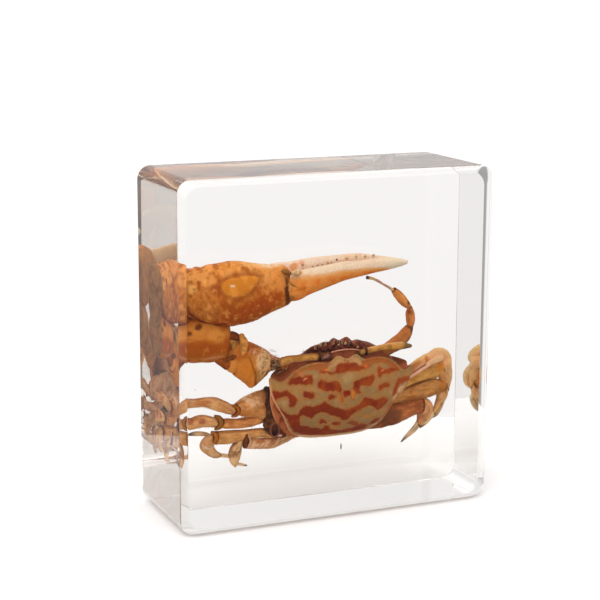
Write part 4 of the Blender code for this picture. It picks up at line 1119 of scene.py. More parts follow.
def daub(colour, across, up, seen, spots):
    """Paint soft-edged spots, each as x, z, half length, half height, tilt, colour, strength."""
    for x, z, a, b, tilt, paint, strength in spots:
        c, s = cos(radians(tilt)), sin(radians(tilt))
        far = np.hypot(((across - x) * c + (up - z) * s) / a, ((up - z) * c - (across - x) * s) / b)
        colour = mix(colour, paint, strength * seen * smooth(1.35, 0.65, far))
    return colour


def slanted(points, angle, stretch):
    """Places turned in the front plane and drawn out along one direction, for streaky noise."""
    c, s = cos(radians(angle)), sin(radians(angle))
    run = points[:, 0] * c + points[:, 2] * s
    up = points[:, 2] * c - points[:, 0] * s
    return np.stack((run * stretch, points[:, 1] * 0.6, up), axis=1)


def segment_distance(u, f, a, b):
    """Distance from points to the line from a to b."""
    a, b = np.array(a), np.array(b)
    along = b - a
    t = np.clip(((u - a[0]) * along[0] + (f - a[1]) * along[1]) / (along @ along), 0.0, 1.0)
    return np.hypot(u - a[0] - t * along[0], f - a[1] - t * along[1])


def line_distance(u, f, line):
    """Distance from points to a line of several stretches."""
    return np.min([segment_distance(u, f, a, b) for a, b in zip(line, line[1:])], axis=0)


def outline_distance(u, f, outline):
    """Signed distance to a closed outline, below 0 inside."""
    inside = np.zeros(len(u), bool)
    for a, b in zip(outline, outline[1:] + outline[:1]):
        if a[1] != b[1]:
            crossing = (a[1] > f) != (b[1] > f)
            inside ^= crossing & (u < a[0] + (f - a[1]) * (b[0] - a[0]) / (b[1] - a[1]))
    nearest = line_distance(u, f, outline + outline[:1])
    return np.where(inside, -nearest, nearest)


def marks_distance(u, f, marks):
    """Signed distance to the nearest of several outlines."""
    return np.min([outline_distance(u, f, outline) for outline in marks.values()], axis=0)


def crab_points(u, f, d):
    """Places in the crab's own plane, as points of the block's frame."""
    u, f, d = (np.asarray(x, float)[:, None] for x in (u, f, d))
    return CRAB_CENTRE + AXIS_U * u + AXIS_F * f + AXIS_D * d


def dome(u, f):
    """Height of the carapace's back above the plane of its side margins."""
    return DOME_HEIGHT - DOME_SIDE_DROP * (u / HALF_WIDTH) ** 2 - DOME_END_DROP * (f / HALF_LENGTH) ** 2


def back_relief(u, f, share):
    """Small height changes of the back: grooves, swollen regions and the beaded rim."""
    height = np.zeros(len(u))
    for line, depth, width in BACK_GROOVES:
        height -= depth * bell(line_distance(u, f, line), 0.0, width)
    for rise, side, wide, along, long in BACK_LUMPS:
        height += rise * np.exp(-((np.abs(u) - side) / wide) ** 2 - ((f - along) / long) ** 2)
    for rise, at, width in RIM_WAVES:
        height += rise * bell(share, at, width)
    return height


def margin_outline():
    """The whole margin from the front notch round, evenly spaced, as an array of (u, f)."""
    closed = list(RIGHT_MARGIN) + list(reversed(LEFT_MARGIN))
    wrap = closed[-3:] + closed + closed[:4]
    fine = smooth_path([(u, f, 0.0) for u, f in wrap], MARGIN_STEP)[:, :2]
    notch_distance = np.hypot(fine[:, 0], fine[:, 1] - RIGHT_MARGIN[0][1])
    half = len(fine) // 2
    start = int(np.argmin(notch_distance[:len(fine) // 3]))
    end = half + int(np.argmin(notch_distance[half:]))
    loop = fine[start:end + 1]
    s = np.concatenate(((0.0,), np.cumsum(np.hypot(*np.diff(loop, axis=0).T))))
    at = np.linspace(0.0, s[-1], BODY_AROUND, endpoint=False)
    return np.stack((np.interp(at, s, loop[:, 0]), np.interp(at, s, loop[:, 1])), axis=1)


def body_levels(outline):
    """The wall from the margin down to the middle of the belly, as rows of points, and its level there."""
    u, f = outline.T
    edge = dome(u, f)
    rows = [(u, f, edge)]
    for wide, front, back, drop in LIP_LEVELS:
        rows.append((u * wide, f * np.where(f > 0, front, back), edge + drop))
    for wide, front, back, height in BELLY_LEVELS:
        rows.append((u * wide, f * np.where(f > 0, front, back), np.full(len(u), height)))
    stack = np.array(rows).transpose(0, 2, 1)
    at = np.linspace(0, len(rows) - 1, BODY_DOWN)
    i = np.clip(at.astype(int), 0, len(rows) - 2)
    finer = between(stack, np.gradient(stack, axis=0), i, (at - i)[:, None, None])
    return finer[1:], at[1:]


def back_colours(u, f, share, points):
    """Tan ground with dark red-brown marks, orange along the front, a pale rim and a few painted highlights.
    """
    u2 = u + MARK_WOBBLE * noise(points, 0.7, 5, 2)
    f2 = f + MARK_WOBBLE * noise(points, 0.7, 6, 2)
    colour = marble(GROUND_TAN, GROUND_GREY, (-0.5, 0.6), points, 2.6, 1)
    colour = mottle(colour, GROUND_PALE, 0.5, (0.1, 0.9), points, 1.4, 8)
    colour = mottle(colour, GROUND_BROWN, 0.35, (0.2, 0.8), points, 0.7, 10)
    colour = mottle(colour, GROUND_GOLD, 0.45, (0.15, 0.60), points, 0.6, 16)
    colour = mottle(colour, GROUND_OLIVE, 0.50, (-0.15, -0.60), points, 0.6, 16)
    dark = marks_distance(u2, f2, DARK_MARKS)
    colour = mix(colour, MARK_HALO, 0.55 * smooth(0.7, 0.0, dark))
    colour = mix(colour, ORANGE, 0.85 * smooth(0.35, -0.30, marks_distance(u2, f2, ORANGE_MARKS)))
    lighter = smooth(-0.6, 0.6, noise(points, 1.6, 3, 2) + 0.06 * u + 0.04 * f)
    ink = mix(tint(len(u), DARK_MARK), DARK_MARK_LIGHT, lighter)
    ink = mottle(ink, DARK_MARK_DEEP, 0.4, (0.2, 0.8), points, 0.6, 14)
    colour = lay(colour, ink, smooth(0.16, -0.22, dark))
    colour = mix(colour, BRIGHT_MARK, smooth(0.15, -0.15, marks_distance(u2, f2, BRIGHT_MARKS)))
    colour = mix(colour, PALE_MARK, 0.85 * smooth(0.30, -0.30, marks_distance(u2, f2, PALE_MARKS)))
    # Spots of the shell, and painted highlights
    colour = daub(colour, u2, f2, np.ones(len(u)), BACK_SPOTS_AND_HIGHLIGHTS)
    rim = smooth(0.972, 0.986, share) * smooth(4.5, 3.0, f) * smooth(4.0, -4.0, u)
    colour = mix(colour, RIM_PINK, 0.9 * rim)
    blush = smooth(0.90, 0.95, share + 0.03 * noise(points, 1.2, 17, 2))
    colour = mix(colour, RIM_RUST, 0.55 * blush * smooth(3.0, 8.0, u) * smooth(2.0, -1.0, f))
    return mix(colour, RIM_CREAM, 0.9 * smooth(-9.4, -9.9, f + 0.15 * noise(points, 1.0, 15)))


def wall_colours(f, level, points):
    """Dark maroon in front below the margin, rust on the sides, tan on the belly."""
    side = marble(WALL_RUST, WALL_RUST_DARK, (-0.3, 0.6), points, 1.5, 4)
    side = mix(side, WALL_LINE, 0.8 * bell(level, 2.6, 0.28) * smooth(1.0, -1.0, f))
    side = mix(side, WALL_REAR, 0.8 * smooth(-8.6, -9.4, f) * smooth(4.0, 2.0, level))
    front = smooth(3.0, 6.0, f)
    colour = mix(side, MAROON, front)
    colour = mottle(colour, MAROON_DARK, 0.5, (0.1, 0.7), points * (1.0, 0.4, 0.4), 0.9, 12, where=front)
    colour = mix(colour, JOINT_BROWN, 0.55 * smooth(3.0, 5.0, level) * smooth(8.0, 6.0, level))
    belly = smooth(6.6, 8.2, level)
    colour = mix(colour, BELLY_TAN, belly)
    colour = mottle(colour, BELLY_BROWN, 1.0, (0.0, 0.7), points, 2.2, 9, where=belly)
    return mix(colour, WALL_TOP, 0.6 * smooth(0.5, 0.1, level))


def back_skin(outline):
    """Points and colours of the back, ring by ring from the margin inwards."""
    share = np.linspace(1.0, 0.0, BODY_INWARD + 1)[:-1] ** RING_CROWDING
    u = (share[:, None] * outline[None, :, 0]).ravel()
    f = (share[:, None] * outline[None, :, 1]).ravel()
    shares = np.repeat(share, BODY_AROUND)
    d = dome(u, f) + back_relief(u, f, shares) * smooth(1.0, 0.97, shares)
    flat = crab_points(u, f, d)
    back = crab_points(u, f, d + 0.05 * noise(flat, 3.0, 2, 2) + 0.012 * noise(flat, 0.5, 7))
    return back, back_colours(u, f, shares, back)


def wall_skin(outline):
    """Points and colours of the walls and the belly, ring by ring from the margin down."""
    rows, at = body_levels(outline)
    u, f, d = rows.reshape(-1, 3).T
    wall = crab_points(u, f, d)
    level = np.repeat(at, BODY_AROUND)
    plates = sum(bell(f - 0.10 * np.abs(u), seam, BELLY_SEAM_WIDTH) for seam in BELLY_SEAMS)
    plates = plates * smooth(7.0, 8.0, level) * smooth(1.6, 2.6, np.abs(u))
    bumps = 0.06 * noise(wall, 1.6, 3, 2) + 0.02 * noise(wall, 0.5, 4)
    wall = crab_points(u, f, d + BELLY_SEAM_DEPTH * plates) - AXIS_D * bumps[:, None]
    return wall, wall_colours(np.tile(outline[:, 1], len(rows)), level, wall)


def body_faces(top, bottom):
    """Faces over the back to its top point, and down the wall to the bottom point."""
    faces = []
    for near in range(0, (BODY_INWARD - 1) * BODY_AROUND, BODY_AROUND):
        faces += band(near, near + BODY_AROUND, BODY_AROUND)
    inmost = (BODY_INWARD - 1) * BODY_AROUND
    faces += [(inmost + k, top, inmost + (k + 1) % BODY_AROUND) for k in range(BODY_AROUND)]
    near = 0
    for far in range(BODY_INWARD * BODY_AROUND, top, BODY_AROUND):
        faces += band(near, far, BODY_AROUND, turned=True)
        near = far
    faces += [(near + k, near + (k + 1) % BODY_AROUND, bottom) for k in range(BODY_AROUND)]
    return faces


def add_flank(surface):
    """The ridge along the left flank, below the margin, with a painted highlight line along its outer edge.
    """
    ridge = []
    for across, along, drop, half in FLANK:
        place = crab_points((across,), (along,), (dome(across, along) - drop,))[0]
        ridge.append((*place, half, FLANK_THICKNESS))
    tube = Tube(ridge, sides=32, step=0.2, power=2.0)
    tube.roughen(0.05, 0.8, 18)
    rust = marble(FLANK_RUST, FLANK_DARK, (-0.2, 0.6), tube.points, 0.9, 19)
    # A painted highlight line on the outward side of the ridge
    outer = smooth(0.72, 0.90, -(0.85 * tube.out[:, 0] + 0.52 * tube.out[:, 2]))
    surface.add_tube(tube, mix(rust, FLANK_HIGHLIGHT, 0.7 * outer))


def build_body(material):
    """The carapace, its front and side walls and the belly, as one skin, and the left flank's ridge."""
    outline = margin_outline()
    back, back_paint = back_skin(outline)
    wall, wall_paint = wall_skin(outline)
    top = crab_points((0.0,), (0.0,), (dome(0.0, 0.0),))
    bottom = crab_points((0.0,), (0.0,), (BELLY_BOTTOM,))
    points = np.concatenate((back, wall, top, bottom))
    surface = Surface()
    surface.add(points, body_faces(len(points) - 2, len(points) - 1),
                np.concatenate((back_paint, wall_paint, tint(2, GROUND_TAN))))
    add_flank(surface)
    return surface.build("crab_carapace", material)


def limb_colours(tube, ground, patches, joint=0.6):
    """Ground colour with long streaks and patches, a painted highlight along the upper edge, painted shade
    along the lower edge, and dark joints.
    """
    points, start = tube.points, tube.points[:1]
    ground, patches = np.array(ground), np.array(patches)
    run = np.stack((tube.along * tube.length * 0.35, tube.up * 1.3, tube.front * 1.3), axis=1)
    colour = mottle(tint(len(points), ground), patches, 0.6, (-0.2, 0.8), points, 1.7, 21)
    colour = mottle(colour, patches, 0.45, (0.0, 0.9), run + start, 0.55, 22)
    fine = run * (1.0, 2.2, 2.2) + start
    colour = mottle(colour, patches * 0.72, 0.42, (0.15, 0.75), fine, 0.55, 27)
    light = np.clip(ground * (1.16, 1.18, 1.10), 0, 244)
    colour = mottle(colour, light, 0.50, (-0.15, -0.75), fine, 0.55, 27)
    # A painted highlight along the upper edge
    upper = smooth(0.55, 0.95, tube.up + 0.15 * noise(points, 0.8, 23))
    colour = mix(colour, np.clip(ground * 1.14, 0, 240), 0.5 * upper)
    # Painted shade along the lower edge
    colour = mix(colour, patches * 0.8, 0.45 * smooth(-0.45, -0.95, tube.up))
    end = np.minimum(tube.along, 1.0 - tube.along) * tube.length
    return mix(colour, JOINT_BROWN, joint * smooth(0.45, 0.05, end))


def underside(colour, tube, pale, dark):
    """Dull the skin that faces the back or the left wall, as on a crab's belly side, with painted shade
    deepening towards the left wall.
    """
    x = tube.points[:, 0]
    dull = marble(pale, dark, (-0.3, 0.8), tube.points, 1.1, 24, 3)
    # Painted shade, deeper towards the left wall
    dull *= (1.0 - 0.35 * smooth(-26.5, -30.5, x))[:, None]
    turned = smooth(0.10, 0.45, tube.out[:, 1] + 0.27 * tube.out[:, 0])
    return lay(colour, dull, 0.9 * np.maximum(turned, smooth(-31.0, -32.2, x)))


def callus_distance(points):
    """Signed distance to the palm's raised oval, below 0 inside."""
    return outline_distance(points[:, 0], points[:, 2], CALLUS)


def palm_colours(tube, x, z, seen, spots):
    """Amber and gold with a rusty lower side, and the palm's oval in its dark ring, with a painted highlight
    on it.
    """
    points = tube.points
    golden = smooth(-0.5, 0.7, 0.7 * noise(points, 2.4, 31, 2) + (z - 51.0) / 3.5)
    colour = mix(tint(len(points), SHELL_AMBER), SHELL_GOLD, golden)
    rust = 0.9 * noise(points, 1.3, 32, 2) + (x + 21.0) / 16.0 - (z - 49.4) / 3.6
    colour = mix(colour, SHELL_RUST, 0.82 * smooth(-0.4, 0.9, rust) * smooth(-9.5, -13.5, x))
    cloud = noise(points, 1.9, 40, 2)
    clouded = smooth(0.05, 0.55, cloud) * smooth(-13.0, -17.0, x) * smooth(49.0, 51.0, z)
    colour = mix(colour, PALM_CLOUD, 0.70 * clouded)
    colour = mix(colour, PALM_LIGHT, 0.45 * smooth(-0.10, -0.60, cloud) * smooth(50.0, 52.0, z))
    colour = daub(colour, x, z, seen, spots)
    colour = mottle(colour, PALM_FLECK, 0.70, (0.30, 0.75), points, 1.0, 34, where=smooth(-12.0, -16.0, x))
    colour = mottle(colour, PALM_PALE_FLECK, 0.55, (-0.30, -0.75), points, 1.0, 34)
    colour = mottle(colour, PALM_GRAIN, 0.45, (0.30, 0.70), points, 0.48, 37, 1)
    colour = mottle(colour, PALM_DARK_GRAIN, 0.35, (-0.30, -0.70), points, 0.48, 37, 1)
    oval = callus_distance(points)
    ring = smooth(1.5, 0.3, oval + 0.4 * noise(points, 0.8, 41))
    colour = mix(colour, CALLUS_RING, 0.70 * seen * ring)
    glow = marble(CALLUS_GOLD, CALLUS_LIGHT, (-0.4, 0.6), points, 1.4, 39, 1)
    colour = lay(colour, glow, seen * smooth(0.14, -0.16, oval))
    # A painted highlight on the oval
    painted_highlight = smooth(0.42, 0.1, np.hypot((x + 22.1) / 1.9, (z - 51.6) * 1.3))
    return mix(colour, CALLUS_HIGHLIGHT, 0.8 * seen * painted_highlight)


def moving_finger_colours(tube, x, z, seen, spots):
    """White above, orange below; the border sinks towards the tip."""
    points = tube.points
    orange = marble(FINGER_ORANGE, FINGER_DEEP, (-0.2, 0.8), points, 1.6, 42)
    orange = mottle(orange, FINGER_FLECK, 0.6, (0.55, 0.80), points, 0.42, 43, 1)
    white = marble(FINGER_WHITE, FINGER_GREY, (-0.3, 0.7), points, 0.9, 44)
    white = mix(white, FINGER_TIP, smooth(11.0, 17.0, x))
    border = np.interp(x, *zip(*FINGER_BORDER))
    colour = lay(orange, white, smooth(-0.16, 0.34, tube.up - border + 0.08 * noise(points, 0.8, 45)))
    colour = mix(colour, FINGER_BAND, 0.6 * bell(tube.up - border, 0.02, 0.20))
    colour = mix(colour, FINGER_LOW, 0.6 * smooth(-0.75, -1.0, tube.up) * smooth(14.0, 8.0, x))
    return daub(colour, x, z, seen, spots)


def fixed_finger_colours(tube, x, z, seen, spots):
    """Cream, with painted shade on its lower side."""
    colour = marble(FIXED_CREAM, FIXED_PINK, (-0.2, 0.7), tube.points, 1.1, 47)
    # Painted shade on the lower side
    colour = mix(colour, FIXED_SHADE, 0.4 * smooth(-0.3, -0.9, tube.up))
    return daub(colour, x, z, seen, spots)


def wrist_colours(tube, x, z, seen, spots):
    """Amber with rust-brown and golden flecks."""
    colour = marble(WRIST_AMBER, WRIST_RUST, (-0.5, 0.6), tube.points, 1.8, 48)
    colour = daub(colour, x, z, seen, spots)
    colour = mottle(colour, WRIST_FLECK, 0.4, (0.4, 0.8), tube.points, 0.6, 49, 1)
    return mottle(colour, WRIST_PALE_FLECK, 0.35, (0.5, 0.9), tube.points, 0.8, 50, 1)


def arm_colours(tube, x, z, seen, spots):
    """Amber, with a pale end that carries dark streaks of short hair."""
    points = tube.points
    colour = marble(ARM_AMBER, ARM_RUST, (-0.4, 0.6), points, 1.4, 51)
    colour = daub(colour, x, z, seen, spots)
    hairy = seen * smooth(-16.8, -15.4, x + 0.25 * (z - 33.0)) * smooth(26.0, 30.0, z)
    streaks = slanted(points, 55.0, 0.35)
    colour = mottle(colour, ARM_STREAK, 0.75, (0.15, 0.7), streaks, 0.30, 52, where=hairy)
    return mottle(colour, ARM_PALE_STREAK, 0.6, (-0.2, -0.7), streaks, 0.30, 52, where=hairy)


def claw_colours(tube, name):
    """The segment's own colours, the painted shade of its dark creases and its duller side away from the
    front.
    """
    x, z = tube.places(0.7, 0.10, 46)
    seen = smooth(-0.2, 0.3, tube.front)
    painter = {"palm": palm_colours, "moving_finger": moving_finger_colours, "wrist": wrist_colours,
               "fixed_finger": fixed_finger_colours}.get(name, arm_colours)
    colour = painter(tube, x, z, seen, CLAW_SPOTS[name])
    # Painted shade along the dark creases
    for line, width, paint, strength in CLAW_CREASES.get(name, ()):
        near = line_distance(x, z, line)
        colour = mix(colour, paint, strength * seen * smooth(1.5 * width, 0.4 * width, near))
    return underside(colour, tube, *(FINGER_BELOW if name.endswith("finger") else CLAW_BELOW))


def claw_relief(tube, name):
    """Lumps of the claw: the raised oval, sunken creases and fine grain."""
    points = tube.points
    x, z = points[:, 0], points[:, 2]
    amount = 0.14 * noise(points, 3.2, 11, 2) + 0.03 * noise(points, 0.8, 13, 2)
    if name.endswith("finger"):
        amount *= 0.4
    if name == "palm":
        raised = CALLUS_HEIGHT * smooth(0.35, -0.55, callus_distance(points))
        amount += raised * smooth(0.0, 0.5, tube.front)
        amount += 0.05 * smooth(0.1, 0.7, noise(points, 0.55, 14)) * smooth(52.0, 48.0, z)
    if name == "arm":
        amount += 0.06 * noise(slanted(points, 55.0, 0.35), 0.35, 15)
        amount += ARM_RIDGE_HEIGHT * bell(line_distance(x, z, ARM_RIDGE), 0.0, ARM_RIDGE_WIDTH)
    for line, width, _, _ in CLAW_CREASES.get(name, ()):
        amount -= 0.9 * width * bell(line_distance(x, z, line), 0.0, width) * smooth(0.0, 0.4, tube.front)
    return amount


def lump(surface, centre, radii, colour, under=None, sides=14):
    """A small rounded knob, lighter above, with painted shade on its lower half in the second colour if one
    is given.
    """
    rows = sides // 2
    points = []
    for i in range(1, rows):
        tilt = pi * i / rows
        for k in range(sides):
            turn = 2 * pi * k / sides
            points.append((sin(tilt) * cos(turn), sin(tilt) * sin(turn), cos(tilt)))
    unit = np.array(points + [(0.0, 0.0, 1.0), (0.0, 0.0, -1.0)])
    faces = []
    for i in range(rows - 2):
        faces += band(i * sides, (i + 1) * sides, sides)
    last_ring = (rows - 2) * sides
    top, bottom = len(unit) - 2, len(unit) - 1
    for k in range(sides):
        m = (k + 1) % sides
        faces += [(top, k, m), (bottom, last_ring + m, last_ring + k)]
    placed = np.array(centre) + unit * np.array(radii)
    placed = placed + unit * (0.12 * min(radii) * noise(placed, 0.4, 73))[:, None]
    # Painted shade on the lower half
    shade = mix(tint(len(unit), colour), colour if under is None else under, smooth(0.3, -0.5, unit[:, 2]))
    surface.add(placed, faces, shade)


def hair(surface, start, end, thick, colour, bend=0.15):
    """One bristle: a thin curved tube."""
    start, end = np.array(start, float), np.array(end, float)
    middle = (start + end) / 2 + np.array((0.0, 0.0, bend)) * np.linalg.norm(end - start)
    shares = ((start, 1.0), (middle, 0.8), (end, 0.3))
    rings = [(*place, share * thick, share * thick) for place, share in shares]
    tube = Tube(rings, sides=5, step=0.3, power=2.0, least=0.02)
    surface.add_tube(tube, tint(len(tube.points), colour))


def add_claw_joint(surface, rings, paint):
    """A knob or fold of skin between two segments of the large claw, with painted shade on its lower side."""
    tube = Tube(rings, sides=20, step=0.2, power=2.1)
    tube.roughen(0.08, 0.6, 16)
    darker = np.array(paint) * 0.78
    colour = marble(paint, darker, (-0.2, 0.6), tube.points, 0.5, 53)
    # Painted shade on the lower side
    colour = mix(colour, darker, 0.6 * smooth(-0.3, -0.9, tube.up))
    surface.add_tube(tube, underside(colour, tube, *CLAW_BELOW))


def add_arm_hairs(surface, centre, reach, seed):
    """A tuft of short hairs round a place on the arm."""
    for a, b, c in scatter(ARM_HAIRS, seed):
        root = np.array(centre) + (np.array((a, c, b)) - 0.5) * np.array(reach)
        tip = root + np.array((0.5 + 0.6 * a, -0.45, 0.5 - 0.9 * b))
        hair(surface, root, tip, HAIR_THICK, HAIR_DARK if c < 0.55 else HAIR_PALE)


def build_large_claw(material):
    """The large claw with its arm, joints, teeth and hairs."""
    surface = Surface()
    for name, rings in LARGE_CLAW.items():
        sides = CLAW_WIDE_SIDES if name in ("palm", "wrist", "arm") else CLAW_SIDES
        cap = 0.3 if name in ("arm", "wrist") else 0.7
        tube = Tube(rings, sides=sides, step=CLAW_STEP, power=2.15, cap=cap)
        tube.push(claw_relief(tube, name))
        surface.add_tube(tube, claw_colours(tube, name))
    for rings, paint in CLAW_JOINTS:
        add_claw_joint(surface, rings, paint)
    for x, z, size, paint in TEETH:
        lump(surface, (x, TEETH_DEPTH, z), (size, 0.5, 1.15 * size), paint, np.array(paint) * 0.88, 10)
    for centre, reach, seed in ARM_TUFTS:
        add_arm_hairs(surface, centre, reach, seed)
    return surface.build("crab_large_claw", material)


def small_finger_colours(tube):
    """Pinkish at the root, cream in the middle, dark at the tip."""
    colour = mix(tint(len(tube.points), (196, 152, 134)), (214, 176, 128), smooth(0.3, 0.0, tube.along))
    colour = mix(colour, (216, 184, 120), smooth(0.70, 0.78, tube.along))
    return mix(colour, (88, 80, 82), smooth(0.90, 0.96, tube.along))


def build_small_claw(material):
    """The small claw, curled up beside the right eyestalk."""
    surface = Surface()
    for name, rings in SMALL_CLAW.items():
        tube = Tube(rings, sides=32, step=0.18, cap=0.5)
        tube.roughen(0.05, 1.0, 41)
        if name == "fingers":
            colour = small_finger_colours(tube)
        else:
            colour = limb_colours(tube, SMALL_CLAW_GROUND[name], SMALL_CLAW_PATCHES, 0.7)
            x, z = tube.places(0.5, 0.06, 54)
            colour = daub(colour, x, z, smooth(-0.2, 0.3, tube.front), SMALL_CLAW_SPOTS)
        surface.add_tube(tube, colour)
    return surface.build("crab_small_claw", material)


def leg_base_colours(tube, leg, part):
    """Ground, patches and joints of a leg segment; shins and claws are paler."""
    ground, patches = LEG_PAINT[leg]
    if part == "shin":
        ground = tuple(0.45 * g + 0.55 * p for g, p in zip(ground, SHIN_PALE))
    if part == "claw":
        ground, patches = CLAW_PALE, tuple(0.7 * p for p in CLAW_PALE)
    return limb_colours(tube, ground, patches, 0.35 if part == "claw" else 0.7)


def streaked(colour, points, angle, stretch, size, seed, layers):
    """Slanted streaks, each layer as paint, strength, rise of the noise, and where."""
    streaks = slanted(points, angle, stretch)
    for paint, strength, rise, where in layers:
        colour = mottle(colour, paint, strength, rise, streaks, size, seed, where=where)
    return colour


def leg_colours(tube, name):
    """A leg segment's colours, with what is special about single segments."""
    leg, part = name.rsplit("_", 1)
    points = tube.points
    x, z = tube.places(0.5, 0.08, 55)
    seen = smooth(-0.4, 0.2, tube.front)
    colour = daub(leg_base_colours(tube, leg, part), x, z, seen, LEG_SPOTS)
    if part == "claw":
        colour = mix(colour, CLAW_TIP, smooth(0.55, 0.95, tube.along))
    if part == "thigh" and leg.startswith("left"):
        # Painted shade where the left thighs meet the body
        shaded = smooth(-13.8, -11.8, x + 0.35 * noise(points, 1.4, 56)) * smooth(16.6, 18.2, z)
        colour = mix(colour, ROOT_SHADE, 0.9 * shaded)
    if part == "thigh" and leg.startswith("right"):
        # Painted shade on the right thighs near the body
        colour = mix(colour, (110, 66, 42), 0.45 * smooth(20.0, 17.0, x))
    if name == "left_first_thigh":
        upper = seen * smooth(21.8, 23.4, z + 0.25 * (x + 16.0)) * smooth(-13.6, -15.0, x)
        colour = streaked(colour, points, 25.0, 0.22, 0.30, 47, (
            ((236, 206, 164), 0.60, (0.15, 0.70), upper), ((150, 92, 42), 0.45, (-0.2, -0.7), upper)))
    if name == "left_fourth_thigh":
        colour = streaked(colour, points, 55.0, 0.30, 0.40, 48, (
            ((232, 196, 156), 0.7, (0.15, 0.65), seen), ((152, 84, 54), 0.6, (-0.15, -0.65), seen)))
    if name == "left_fourth_shin":
        colour = streaked(colour, points, 60.0, 0.35, 0.35, 49, (
            ((128, 90, 62), 0.85, (0.45, -0.2), seen * smooth(11.4, 12.4, z)),))
        colour = mix(colour, (232, 196, 148), 0.8 * seen * smooth(12.0, 11.0, z))
    return underside(colour, tube, *LEG_BELOW)


def leg_relief(tube, name):
    """Uneven skin, and a flare just before the joint at the far end."""
    amount = 0.06 * noise(tube.points, 1.3, 51, 2) + 0.02 * noise(tube.points, 0.5, 52)
    if name.endswith("claw"):
        return 0.2 * amount
    left = (1.0 - tube.along) * tube.length
    return amount + LEG_FLARE * (smooth(0.9, 0.2, left) - smooth(0.25, 0.0, left))


def add_leg_hairs(surface, name, rings, length):
    """Short hairs, most of them along the lower edge of a leg segment."""
    path = smooth_path(rings, 0.3)
    for a, b, c in scatter(int(length * LEG_HAIRS_PER_MM), len(name) + ord(name[6])):
        x, y, z, high, deep = path[int(a * (len(path) - 1))]
        below = b < 0.7
        root = (x, y - 0.55 * deep, z + (-0.8 if below else 0.8) * high)
        tip = (root[0] + 0.5 * (c - 0.3), root[1] - 0.35, root[2] + (-0.5 if below else 0.5))
        hair(surface, root, tip, LEG_HAIR_THICK, HAIR_PALE if c > 0.6 else HAIR_BROWN)


def add_leg_joints(surface):
    """Hinge plates, pale bars, dark tubes of painted shade at the roots, and the small joints beside the
    body, with two painted highlights among the bars and joints.
    """
    for rings, paint in KNEES:
        tube = Tube(rings, sides=20, step=0.15, power=2.0)
        tube.roughen(0.07, 0.5, 59)
        edge = smooth(0.45, 0.85, np.abs(tube.up + 0.25 * noise(tube.points, 0.5, 60)))
        surface.add_tube(tube, mix(tint(len(tube.points), paint), (66, 36, 18), 0.85 * edge))
    for rings, paint in PALE_BARS:
        tube = Tube(rings, sides=12, step=0.2, power=2.2)
        tube.roughen(0.03, 0.6, 61)
        surface.add_tube(tube, tint(len(tube.points), paint))
    # Dark tubes of painted shade at the leg roots
    for rings in LEG_ROOT_SHADE:
        tube = Tube(rings, sides=28, step=0.25, power=2.0)
        tube.roughen(0.18, 1.0, 57)
        colour = marble(ROOT_SHADE, (112, 70, 46), (-0.1, 0.8), tube.points, 0.7, 58)
        colour = mix(colour, (116, 64, 44), 0.7 * smooth(-11.0, -9.6, tube.points[:, 0]))
        surface.add_tube(tube, colour)
    # Rounded joints beside the body, and a painted highlight on the left one
    for centre, radii, paint in COXAE_AND_HIGHLIGHT:
        lump(surface, centre, radii, paint, np.array(paint) * 0.6, 24)
    x, y, z, wide, tall = COXA_RING
    loop = [(x + wide * cos(a), y, z + tall * sin(a), 0.2, 0.2) for a in np.linspace(0.0, 2 * pi, 17)]
    tube = Tube(loop, sides=10, step=0.2, power=2.0)
    surface.add_tube(tube, tint(len(tube.points), (124, 80, 64)))


def build_legs(material):
    """The eight walking legs with their hairs and joints."""
    surface = Surface()
    for name, rings in LEGS.items():
        sides = THIGH_SIDES if name.endswith("thigh") else SHIN_SIDES
        tube = Tube(rings, sides=sides, step=LEG_STEP, power=2.35, cap=0.5, least=0.1)
        tube.push(leg_relief(tube, name))
        surface.add_tube(tube, leg_colours(tube, name))
        if not name.endswith("claw"):
            add_leg_hairs(surface, name, rings, tube.length)
    add_leg_joints(surface)
    return surface.build("crab_legs", material)


def eyestalk_colours(tube, side):
    """Golden brown, with a painted highlight above and painted shade below; the inner end is dark with a grey
    patch, the right tip is grey.
    """
    points = tube.points
    x, z = tube.places(0.5, 0.08, 63)
    colour = marble(EYESTALK_GOLD, EYESTALK_BROWN, (-0.3, 0.7), points, 1.2, 62)
    # Painted highlight above and painted shade below
    colour = mix(colour, (212, 164, 118), 0.7 * smooth(0.5, 0.95, tube.up))
    colour = mix(colour, (122, 72, 38), 0.7 * smooth(-0.4, -0.9, tube.up))
    if side == "left":
        colour = mix(colour, (78, 44, 30), 0.9 * smooth(-2.9, -2.3, x))
        colour = mottle(colour, (146, 104, 56), 0.5, (0.1, 0.6), points, 0.7, 64)
        greyish = np.hypot((x + 0.6) / 1.5, (z - 34.3 - 0.3 * (x + 0.6)) * 1.5)
        return mix(colour, (152, 112, 104), 0.9 * smooth(0.85, 0.45, greyish))
    colour = mix(colour, (104, 84, 62), 0.85 * smooth(17.6, 18.9, x))
    colour = mix(colour, (84, 48, 30), 0.9 * smooth(9.7, 9.3, x))
    return mix(colour, (166, 122, 68), 0.9 * smooth(0.75, 0.5, np.hypot(x - 8.4, z - 34.5)))


def build_eyestalks(material):
    """The two eyestalks, laid out to the sides, with a dark ring near each inner end."""
    surface = Surface()
    for side, rings in EYESTALKS.items():
        tube = Tube(rings, sides=32, step=0.16, power=2.0, cap=0.6)
        tube.roughen(0.035, 1.0, 61)
        surface.add_tube(tube, eyestalk_colours(tube, side))
    for centre, radii, paint in EYESTALK_RINGS:
        lump(surface, centre, radii, paint, (60, 34, 24), 20)
    return surface.build("crab_eyestalks", material)


